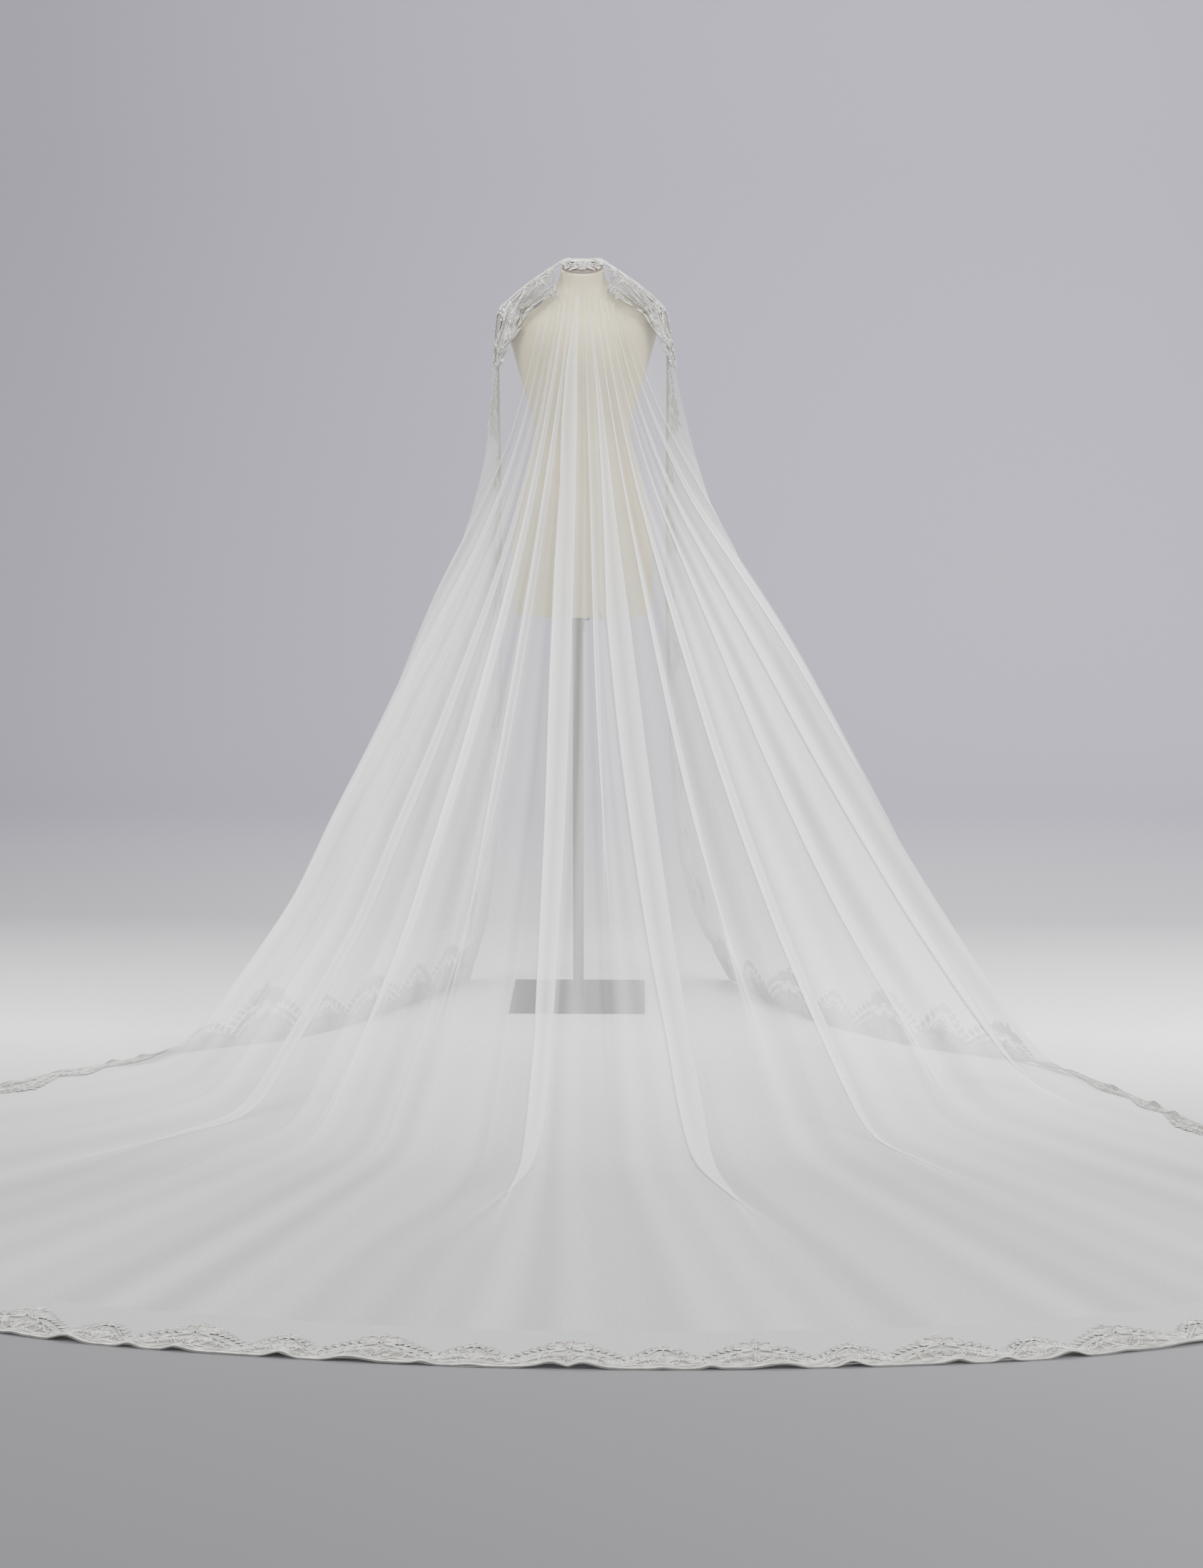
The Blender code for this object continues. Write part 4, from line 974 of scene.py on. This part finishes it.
class LaceDrawing:
    # tubes, leaves and beads drawn flat: along the edge, in from it, and lift
    def __init__(self):
        self.points, self.faces, self.slots, self.count = [], [], [], 0

    def add(self, points, faces, slot):
        self.points.append(np.asarray(points, float))
        self.faces += [tuple(corner + self.count for corner in face) for face in faces]
        self.slots += [slot] * len(faces)
        self.count += len(points)

    def tube(self, line, radius, lift, closed=False, slot=0, sides=4):
        line = np.asarray(line, float)
        radius = np.broadcast_to(radius, len(line))
        if closed:
            way = np.roll(line, -1, axis=0) - np.roll(line, 1, axis=0)
        else:
            way = np.gradient(line, axis=0)
        way /= np.maximum(np.linalg.norm(way, axis=1), 1e-9)[:, None]
        across = np.stack((-way[:, 1], way[:, 0]), -1)
        turn = 2 * math.pi * np.arange(sides) / sides
        ring = np.zeros((len(line), sides, 3))
        ring[..., :2] = line[:, None] + across[:, None] * (np.cos(turn)[None] * radius[:, None])[..., None]
        ring[..., 2] = lift + np.sin(turn)[None] * radius[:, None]
        faces = []
        last = len(line) if closed else len(line) - 1
        for n in range(last):
            after = (n + 1) % len(line)
            for side in range(sides):
                other = (side + 1) % sides
                faces.append((n * sides + side, after * sides + side, after * sides + other, n * sides + other))
        if not closed:
            faces.append(tuple(range(sides)))
            faces.append(tuple((len(line) - 1) * sides + side for side in reversed(range(sides))))
        self.add(ring.reshape(-1, 3), faces, slot)

    def pad(self, outline, lift, dome, slot):
        # a filled shape, domed above and flat below
        outline = np.asarray(outline, float)
        count = len(outline)
        middle = outline.mean(axis=0)
        points = np.zeros((count + 2, 3))
        points[:count, :2] = outline
        points[:count, 2] = lift
        points[count] = (*middle, lift + dome)
        points[count + 1] = (*middle, lift - 0.0002)
        faces = [(n, (n + 1) % count, count) for n in range(count)]
        faces += [((n + 1) % count, n, count + 1) for n in range(count)]
        self.add(points, faces, slot)

    def bead(self, x, y, radius, lift):
        points = [(x + radius, y, lift), (x, y + radius, lift), (x - radius, y, lift), (x, y - radius, lift),
                  (x, y, lift + radius), (x, y, lift - radius)]
        faces = [(0, 1, 4), (1, 2, 4), (2, 3, 4), (3, 0, 4), (1, 0, 5), (2, 1, 5), (3, 2, 5), (0, 3, 5)]
        self.add(points, faces, 3)


def smoothLine(points, step):
    # evenly spaced points on a smooth curve through a few given ones
    points = np.asarray(points, float)
    ends = np.vstack((2 * points[0] - points[1], points, 2 * points[-1] - points[-2]))
    t = np.linspace(0, 1, 9)[:-1]
    weights = cubicWeights(t)
    line = [sum(weight[:, None] * ends[n + i] for i, weight in enumerate(weights))
            for n in range(len(points) - 1)]
    line = np.vstack(line + [points[-1:]])
    return spreadEvenly(line, max(3, int(round(runAlong(line)[-1] / step)) + 1))


def leafOutline(x, y, angle, length, half, steps=12):
    # a leaf with two pointed ends that starts at x, y
    turn = 2 * math.pi * np.arange(steps) / steps
    along = length / 2 * (1 - np.cos(turn))
    beside = half * np.sin(turn) * np.abs(np.sin(turn)) ** 0.35
    cosine, sine = math.cos(angle), math.sin(angle)
    return np.stack((x + along * cosine - beside * sine, y + along * sine + beside * cosine), -1)


# motifs in millimetres from the middle of each scallop: along the edge, in from it
largeMotif = {
    "stems": [[(8, 16), (22, 34), (30, 56), (20, 72), (4, 78)],
              [(74, 15), (56, 30), (44, 50), (26, 66), (6, 74)],
              [(100, 20), (84, 27), (70, 42), (50, 57), (28, 68)], [(0, 14), (14, 22), (34, 20), (54, 14)],
              [(40, 18), (48, 30), (42, 42)]],
    "petals": [(8, 82, 14, 27, 8.0), (6, 86, 50, 28, 8.5)],
    "middle": [(0, 84, 90, 30, 9.0), (0, 24, 90, 44, 5.5), (0, 108, 90, 13, 4.2)],
    "open": [(7, 20, 58, 46, 9.5)],
    "sprays": [(28, 76, 62, 20, 5.2), (39, 71, 50, 20, 5.2), (50, 65, 40, 18, 4.8), (61, 57, 32, 17, 4.4),
               (72, 48, 26, 16, 4.0), (83, 39, 20, 14, 3.6), (34, 62, -22, 16, 4.2), (46, 54, -26, 15, 4.0),
               (57, 45, -28, 14, 3.8), (68, 35, -24, 13, 3.4), (94, 30, 14, 13, 3.2), (24, 92, 34, 15, 4.0)],
    "beads": [(0, 80, 2.2), (5, 77, 1.5), (5, 84, 1.5), (30, 58, 1.4), (18, 40, 1.2), (28, 62, 1.2),
              (46, 24, 1.3)],
}
smallMotif = {
    "stems": [[(66, 13), (48, 28), (32, 48), (16, 70), (0, 88)],
              [(52, 13), (38, 28), (24, 46), (10, 62), (0, 72)],
              [(80, 15), (64, 20), (50, 34), (36, 52)], [(0, 15), (12, 22), (28, 18), (44, 13)]],
    "petals": [(2, 80, 48, 15, 4.4)],
    "middle": [(0, 80, 90, 17, 4.8), (0, 18, 90, 46, 4.2)],
    "open": [(4, 16, 46, 30, 6.0)],
    "sprays": [(52, 28, 62, 16, 4.6), (43, 40, 66, 17, 4.8), (33, 53, 70, 17, 4.8), (22, 66, 66, 16, 4.6),
               (12, 77, 56, 13, 3.8), (62, 22, 40, 14, 4.0), (3, 30, 40, 17, 4.0), (3, 44, 44, 14, 3.6),
               (3, 57, 50, 10, 3.0)],
    "beads": [(0, 76, 1.8), (10, 30, 1.2), (8, 44, 1.2), (24, 34, 1.3), (40, 22, 1.2), (56, 18, 1.2)],
}


def drawMotif(motif):
    drawing = LaceDrawing()
    mm = 0.001
    high = laceLook["lift"] + laceLook["groundThick"]
    for hand in (1, -1):
        for stem in motif["stems"]:
            line = smoothLine([(hand * x * mm, y * mm) for x, y in stem], laceLook["cordStep"])
            drawing.tube(line, laceLook["stemRadius"], high + 0.0009, slot=1)
            for x, y in line[2:-1:2]:
                if hand > 0 or abs(x) > 0.002:
                    drawing.bead(x, y, laceLook["stemBead"], high + 0.0022)
        for kind in ("petals", "open", "sprays"):
            for x, y, angle, length, half in motif[kind]:
                turned = math.radians(angle if hand > 0 else 180 - angle)
                drawLeaf(drawing, hand * x * mm, y * mm, turned, length * mm, half * mm, high, kind)
        for x, y, radius in motif["beads"]:
            if x or hand > 0:
                drawing.bead(hand * x * mm, y * mm, radius * mm, high + 0.0014)
    for x, y, angle, length, half in motif["middle"]:
        drawLeaf(drawing, x * mm, y * mm, math.radians(angle), length * mm, half * mm, high, "petals")
    return drawing


def drawLeaf(drawing, x, y, angle, length, half, high, kind):
    outline = leafOutline(x, y, angle, length, half, 14 if kind == "open" else 12)
    radius = laceLook["sprayCord" if kind == "sprays" else "leafCord"]
    drawing.tube(outline, radius, high + 0.0008, closed=True, slot=1)
    way = np.array((math.cos(angle), math.sin(angle)))
    side = np.array((-way[1], way[0]))
    start = np.array((x, y))
    if kind == "open":
        for share in (0.28, 0.5, 0.72):
            reach = half * math.sin(math.pi * share) * 0.92
            middle = start + way * length * share
            drawing.tube([middle - side * reach, middle, middle + side * reach], laceLook["veinRadius"],
                         high + 0.0005, slot=1)
        return
    drawing.pad(outline, high + 0.0003, laceLook["padDome"], 2)
    if kind == "petals":
        drawing.tube([start + way * length * share for share in (0.12, 0.45, 0.8)],
                     np.array((laceLook["veinRadius"], 0.0006, 0.0003)), high + 0.0012, slot=1)


def rangePoints(start, end, step):
    return np.linspace(start, end, max(2, int(round((end - start) / step)) + 1))


def phaseAt(run):
    wrapped = (run - chart["runs"][0]) % chart["whole"] + chart["runs"][0]
    return np.interp(wrapped, chart["runs"], chart["phases"])


def groundWidth(phase, run):
    # narrow over the cap, where the wood shows
    deep = scallopWidth(phase) - border["valley"]
    away = np.abs((run + chart["whole"] / 2) % chart["whole"] - chart["whole"] / 2)
    atShoulder = smoothStep((away - 0.06) / 0.05) * (1 - smoothStep((away - 0.30) / 0.08))
    width = groundShape["least"] + deep * (groundShape["share"] + groundShape["shoulderShare"] * atShoulder)
    return groundShape["onCap"] + (width - groundShape["onCap"]) * smoothStep((away - 0.025) / 0.05)


# distance in from the edge, radius, beaded or not, height of its wave, shift of the wave
edgeCords = ((0.0018, 0.0017, True, 0.0004, 0.0), (0.0064, 0.0011, False, 0.0008, 1.1),
             (0.0108, 0.0011, False, 0.0010, 2.6), (0.0150, 0.0014, True, 0.0012, 4.0))
# distance back from the inner edge of the ground, radius
innerCords = ((0.0, 0.0013), (0.0055, 0.0010), (-0.0050, 0.0009))


def drawRunning(start, end):
    # ground, edge rope and the cords that run the whole length of a piece
    drawing = LaceDrawing()
    high = laceLook["lift"] + laceLook["groundThick"]
    gap = laceLook["gap"]
    runs = rangePoints(start + gap, end - gap, 0.005)
    inner = groundWidth(phaseAt(runs), runs)
    strips = 6
    width = 0.0008 + (inner - 0.0008)[:, None] * np.linspace(0, 1, strips + 1)[None]
    columns = len(runs)
    skins = []
    for lift in (high, laceLook["lift"]):
        skin = np.stack(np.broadcast_arrays(runs[:, None], width, np.array(lift)), -1)
        skins.append(skin.reshape(-1, 3))
    index = np.arange(columns * (strips + 1)).reshape(columns, strips + 1)
    under = index + index.size
    faces = gridFaces(index)[:, (0, 3, 2, 1)].tolist() + gridFaces(under).tolist()
    loop = np.concatenate((index[:, 0], index[-1, 1:], index[-2::-1, -1], index[0, -2:0:-1]))
    after = np.roll(loop, -1)
    faces += np.stack((after, loop, loop + index.size, after + index.size), -1).tolist()
    drawing.add(np.concatenate(skins), faces, 0)

    beadRuns = rangePoints(start + gap, end - gap, laceLook["edgeBeadStep"])
    cordRuns = rangePoints(start + gap, end - gap, laceLook["cordStep"])
    for into, radius, beaded, wave, shift in edgeCords:
        along = beadRuns if beaded else cordRuns
        line = np.stack((along, into + wave * np.sin(2 * math.pi * along / 0.047 + shift)), -1)
        swell = 1 + 0.28 * (-1) ** np.arange(len(along)) if beaded else 1.0
        drawing.tube(line, radius * swell * np.ones(len(along)), high + radius * 0.6, slot=1)
    for back, radius in innerCords:
        line = np.stack((cordRuns, groundWidth(phaseAt(cordRuns), cordRuns) - back), -1)
        line[:, 1] += 0.0012 * np.sin(2 * math.pi * cordRuns / 0.026 + 900 * back)
        drawing.tube(line, radius, high + radius * 0.6, slot=1)
    for run in rangePoints(start + 0.006, end - 0.006, laceLook["innerBeadStep"]):
        inner = float(groundWidth(phaseAt(np.array([run])), np.array([run]))[0])
        drawing.bead(run, inner - 0.0027, laceLook["innerBead"], high + laceLook["innerBead"])
    return drawing


def buildLace():
    motifs = {0: drawMotif(smallMotif), 1: drawMotif(largeMotif)}
    placed = [(0.0, 0, edges[1][1] / border["repeatsPerHalf"])]
    for hand in (-1, 1):
        repeat = edges[hand][1] / border["repeatsPerHalf"]
        last = int(2 * border["repeatsPerHalf"])
        for number in range(1, last + (1 if hand > 0 else 0)):
            placed.append((hand * number / 2 * repeat, number % 2, repeat))
    pieces = []
    for name, start, end in laceRanges():
        drawings = [(drawRunning(start, end), 0.0, 1.0, 1.0)]
        for center, kind, repeat in placed:
            shifted = center + (chart["whole"] if center < start else 0.0)
            if start <= shifted < end:
                deep = laceLook["shoulderStretch"] if abs(center) < 0.2 and kind else 1.0
                drawings.append((motifs[kind], shifted, repeat / laceLook["repeat"], deep))
        points, faces, slots, count = [], [], [], 0
        for drawing, center, stretch, deep in drawings:
            spots = np.concatenate(drawing.points) * (stretch, deep, 1.0) + (center, 0.0, 0.0)
            points.append(onCloth(spots))
            faces += [tuple(corner + count for corner in face) for face in drawing.faces]
            slots += drawing.slots
            count += len(spots)
        mesh = bpy.data.meshes.new(name.replace("lace_", "laceBorder_"))
        points = np.concatenate(points)
        points[:, 2] = np.maximum(points[:, 2], 0.0003)
        mesh.from_pydata(points.tolist(), [], faces)
        for material in (groundMaterial, cordMaterial, petalMaterial, beadMaterial):
            mesh.materials.append(material)
        mesh.polygons.foreach_set("material_index", np.array(slots, np.int32))
        mesh.shade_smooth()
        piece = newPiece(mesh)
        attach(piece, "root")
        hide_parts(name)
        pieces.append(piece)
        print(piece.name, triangleCount(piece), "triangles")
    return pieces


lacePieces = buildLace()
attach(tulle, "root")
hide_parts(*["tulle_" + name for name, end in stretches])
print("lace sewn on")


# the dress form

capShape = {"top": 1.7254, "radius": 0.0468, "thick": 0.0045, "tilt": math.radians(17), "inset": 0.006,
            "rounding": 0.0012, "seat": 0.0006}
formShape = {"sides": 40, "neckRadius": 0.0498, "edge": 0.004, "seamRadius": 0.0007,
             "seamAngles": (-90, -57, -123, 0, 180, 90, 52, 128), "seamLow": 0.927, "seamHigh": 1.700}


def buildForm():
    deselectAll()
    bpy.ops.mesh.primitive_circle_add(vertices=formShape["sides"], radius=0.16, fill_type="NGON",
                                      location=(formX, 0, formSections[0][0]))
    torso = bpy.context.object
    torso.name = "formTorso"
    applyPlace(torso)
    # rings close to both ends keep those edges crisp when the form is made smooth
    neckTop = capShape["top"] - (capShape["thick"] + capShape["seat"]) / math.cos(capShape["tilt"])
    low, neck, edge = formSections[0], (formShape["neckRadius"],) * 3, formShape["edge"]
    rings = [(low[0], *(part - edge for part in low[1:4]), 0.0), (low[0] + 0.0012, *low[1:]),
             (low[0] + 0.006, *low[1:]), *formSections[1:], (neckTop - 0.004, *neck, 1.0),
             (neckTop - 0.0006, *neck, 1.0), (neckTop, *(part - edge for part in neck), 1.0)]
    bpy.ops.object.mode_set(mode="EDIT")
    shape = bmesh.from_edit_mesh(torso.data)
    layer = shape.verts.layers.float.new("angle")
    for vert in shape.verts:
        vert[layer] = math.atan2(vert.co.y, vert.co.x - formX)
    for number, (height, halfWidth, front, back, tilt) in enumerate(rings):
        if number:
            bpy.ops.mesh.extrude_region_move(TRANSFORM_OT_translate={"value": (0, 0, 0.001)})
        shape = bmesh.from_edit_mesh(torso.data)
        layer = shape.verts.layers.float["angle"]
        for vert in shape.verts:
            if vert.select:
                y = (back if math.sin(vert[layer]) > 0 else front) * math.sin(vert[layer])
                vert.co = (formX + halfWidth * math.cos(vert[layer]), y,
                           height + y * math.tan(capShape["tilt"]) * tilt)
        bmesh.update_edit_mesh(torso.data)
    bpy.ops.mesh.select_all(action="SELECT")
    bpy.ops.mesh.normals_make_consistent(inside=False)
    bpy.ops.object.mode_set(mode="OBJECT")
    soft = torso.modifiers.new("soft", "SUBSURF")
    soft.levels = 2
    soft.render_levels = 2
    applyModifiers(torso)
    torso.data.shade_smooth()
    dressPiece(torso, linenMaterial)
    return torso


def buildSeams(torso):
    # raised seams of the form's cover, found on its surface
    curve = bpy.data.curves.new("formSeams", "CURVE")
    curve.dimensions = "3D"
    curve.bevel_depth = formShape["seamRadius"]
    curve.bevel_resolution = 1
    curve.use_fill_caps = True
    for angle in formShape["seamAngles"]:
        way = Vector((math.cos(math.radians(angle)), math.sin(math.radians(angle)), 0))
        found = []
        for height in np.linspace(formShape["seamLow"], formShape["seamHigh"], 60):
            hit, spot, normal, face = torso.ray_cast(Vector((formX, 0, height)) + way * 0.4, -way)
            if hit:
                found.append(spot + normal * 0.0001)
        line = curve.splines.new("POLY")
        line.points.add(len(found) - 1)
        for point, spot in zip(line.points, found):
            point.co = (*spot, 1)
    seams = bpy.data.objects.new("formSeams", curve)
    bpy.context.scene.collection.objects.link(seams)
    activate(seams)
    bpy.ops.object.convert(target="MESH")
    seams = bpy.context.object
    dressPiece(seams, linenMaterial)
    seams.data.shade_smooth()
    return seams


def buildCap():
    tilt, thick = capShape["tilt"], capShape["thick"]
    center = (formX, 0.5 * thick * math.sin(tilt), capShape["top"] - 0.5 * thick * math.cos(tilt))
    deselectAll()
    bpy.ops.mesh.primitive_cylinder_add(vertices=72, radius=capShape["radius"], depth=thick, location=center,
                                        rotation=(tilt, 0, 0))
    cap = bpy.context.object
    cap.name = "neckCap"
    bpy.ops.object.mode_set(mode="EDIT")
    bpy.ops.mesh.select_all(action="DESELECT")
    bpy.ops.mesh.select_mode(type="FACE")
    bpy.ops.object.mode_set(mode="OBJECT")
    top = max(cap.data.polygons, key=lambda face: face.center.z)
    top.select = True
    bpy.ops.object.mode_set(mode="EDIT")
    bpy.ops.mesh.inset(thickness=capShape["inset"], depth=0.0)
    bpy.ops.object.mode_set(mode="OBJECT")
    applyPlace(cap)
    rounded = cap.modifiers.new("rounded", "BEVEL")
    rounded.width = capShape["rounding"]
    rounded.segments = 3
    rounded.limit_method = "ANGLE"
    applyModifiers(cap)
    cap.data.shade_smooth()
    cap.data.set_sharp_from_angle(angle=math.radians(50))
    dressPiece(cap, woodMaterial)
    return cap


torso = buildForm()
seams = buildSeams(torso)
cap = buildCap()
for piece, slotName in ((torso, "form_cloth"), (seams, "form_cloth"), (cap, "cap_wood")):
    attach(piece, "root")
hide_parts("torso")
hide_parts("neck_cap")
print("form built")


# the stand keeps the frame's own solids, with better finishes

for node, material in (("pole", poleMaterial), ("height_collar", poleMaterial), ("thumb_screw", poleMaterial),
                       ("base_plate", plateMaterial)):
    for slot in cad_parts[node].material_slots:
        slot.material = material
print("stand finished")


# stage, light and camera

# the paper's colours are painted light and shade from the front to the back: dark at the front, a bright
# painted pool of light around the stand, a dimmer wall behind; across, painted darker to the left and lighter
# to the right
stageLook = {"floorHalf": 9.0, "wallHalf": 3.1, "bendStart": 2.6, "bendRadius": 2.2, "wallTop": 3.4,
             "paintedLightFront": -4.6, "paintedLightBack": 2.4, "sideReach": 2.2,
             "leftPaintedShade": (0.84, 0.84, 0.84), "rightPaintedLight": (1.22, 1.22, 1.22),
             "paintedLightStops": ((0.0, (0.135, 0.135, 0.14)), (0.30, (0.165, 0.165, 0.17)), (0.46, (0.23, 0.23, 0.23)),
                        (0.61, (0.90, 0.90, 0.90)), (0.78, (0.40, 0.40, 0.415)), (1.0, (0.365, 0.345, 0.405)))}

# place, target, size, watts before they are scaled by lightScale
softboxes = {"topBox": ((0.1, -0.3, 4.6), (0.05, -0.1, 0.0), (3.0, 2.2), 155),
             "leftBox": ((-4.2, -3.4, 3.0), (0.0, -0.4, 0.7), (2.4, 2.8), 170),
             "rightBox": ((4.0, -3.6, 2.8), (0.0, -0.4, 0.7), (2.4, 2.8), 230),
             "wallBox": ((0.0, 1.4, 4.4), (0.0, 4.8, 1.6), (5.0, 1.6), 60)}
lightScale = 1.45
worldLook = {"color": (0.93, 0.94, 1.0, 1.0), "strength": 0.42}
# pitch and turn in degrees, measured on the stand; focal length and picture height in the photo's pixels
cameraLook = {"place": (0.159, -6.353, 1.607), "pitch": 9.71, "turn": 0.936, "focal": 3800, "height": 2190}


def buildStage():
    # a wide flat floor, and behind it a narrower sheet that bends up into a wall
    start, radius, half = stageLook["bendStart"], stageLook["bendRadius"], stageLook["wallHalf"]
    profile = [(start + radius * math.sin(turn), radius - radius * math.cos(turn))
               for turn in np.linspace(0, math.pi / 2, 24)]
    profile.append((start + radius, stageLook["wallTop"]))
    wide = stageLook["floorHalf"]
    points = [(-wide, -wide, 0.0), (wide, -wide, 0.0), (wide, wide, 0.0), (-wide, wide, 0.0)]
    points += [(x, y, z) for y, z in profile for x in (-half, half)]
    faces = [(0, 1, 2, 3)]
    faces += [(2 * n + 4, 2 * n + 5, 2 * n + 7, 2 * n + 6) for n in range(len(profile) - 1)]
    mesh = bpy.data.meshes.new("studioPaper")
    mesh.from_pydata(points, [], faces)
    mesh.shade_smooth()
    material, nodes, links, shader = newMaterial("paperPaintedLight", (0.7, 0.7, 0.72), 0.9)
    coords = addNode(nodes, "ShaderNodeTexCoord").outputs["Object"]
    split = addNode(nodes, "ShaderNodeSeparateXYZ")
    links.new(coords, split.inputs["Vector"])
    # painted light and shade along Y: dark at the front, a bright painted pool of light by the stand, a dimmer
    # wall
    ramp = addNode(nodes, "ShaderNodeValToRGB")
    for number, (place, color) in enumerate(stageLook["paintedLightStops"]):
        stop = ramp.color_ramp.elements[number] if number < 2 else ramp.color_ramp.elements.new(place)
        stop.position = place
        stop.color = (*color, 1.0)
    backward = addRange(nodes, links, split.outputs["Y"],
                        stageLook["paintedLightFront"], stageLook["paintedLightBack"], 0.0, 1.0)
    links.new(backward, ramp.inputs["Fac"])
    # painted light across: the left side darker, the right side lighter
    side = addNode(nodes, "ShaderNodeMix", data_type="RGBA", blend_type="MULTIPLY")
    side.inputs["Factor"].default_value = 1.0
    links.new(ramp.outputs["Color"], side.inputs["A"])
    reach = stageLook["sideReach"]
    sideways = addRange(nodes, links, split.outputs["X"], -reach, reach, 0.0, 1.0)
    tint = addTint(nodes, links, sideways, stageLook["leftPaintedShade"], stageLook["rightPaintedLight"])
    links.new(tint, side.inputs["B"])
    links.new(side.outputs["Result"], shader.inputs["Base Color"])
    shader.inputs["Specular IOR Level"].default_value = 0.1
    mesh.materials.append(material)
    newPiece(mesh)


def buildLights():
    world = bpy.data.worlds.new("studio")
    world.use_nodes = True
    background = world.node_tree.nodes["Background"]
    background.inputs["Color"].default_value = worldLook["color"]
    background.inputs["Strength"].default_value = worldLook["strength"] * lightScale
    bpy.context.scene.world = world
    for name, (place, target, size, watts) in softboxes.items():
        light = bpy.data.lights.new(name, "AREA")
        light.shape = "RECTANGLE"
        light.size, light.size_y = size
        light.energy = watts * lightScale
        box = bpy.data.objects.new(name, light)
        box.location = place
        box.rotation_euler = (Vector(target) - Vector(place)).to_track_quat("-Z", "Y").to_euler()
        bpy.context.scene.collection.objects.link(box)


def placeCamera():
    camera = bpy.data.cameras.new("camera")
    camera.sensor_fit = "VERTICAL"
    camera.sensor_height = 36.0
    camera.lens = camera.sensor_height * cameraLook["focal"] / cameraLook["height"]
    view = bpy.data.objects.new("camera", camera)
    view.location = cameraLook["place"]
    pitch, turn = math.radians(cameraLook["pitch"]), math.radians(cameraLook["turn"])
    view.rotation_euler = (math.pi / 2 - pitch, 0.0, turn)
    bpy.context.scene.collection.objects.link(view)
    bpy.context.scene.camera = view


buildStage()
buildLights()
placeCamera()
print("stage, lights and camera set")
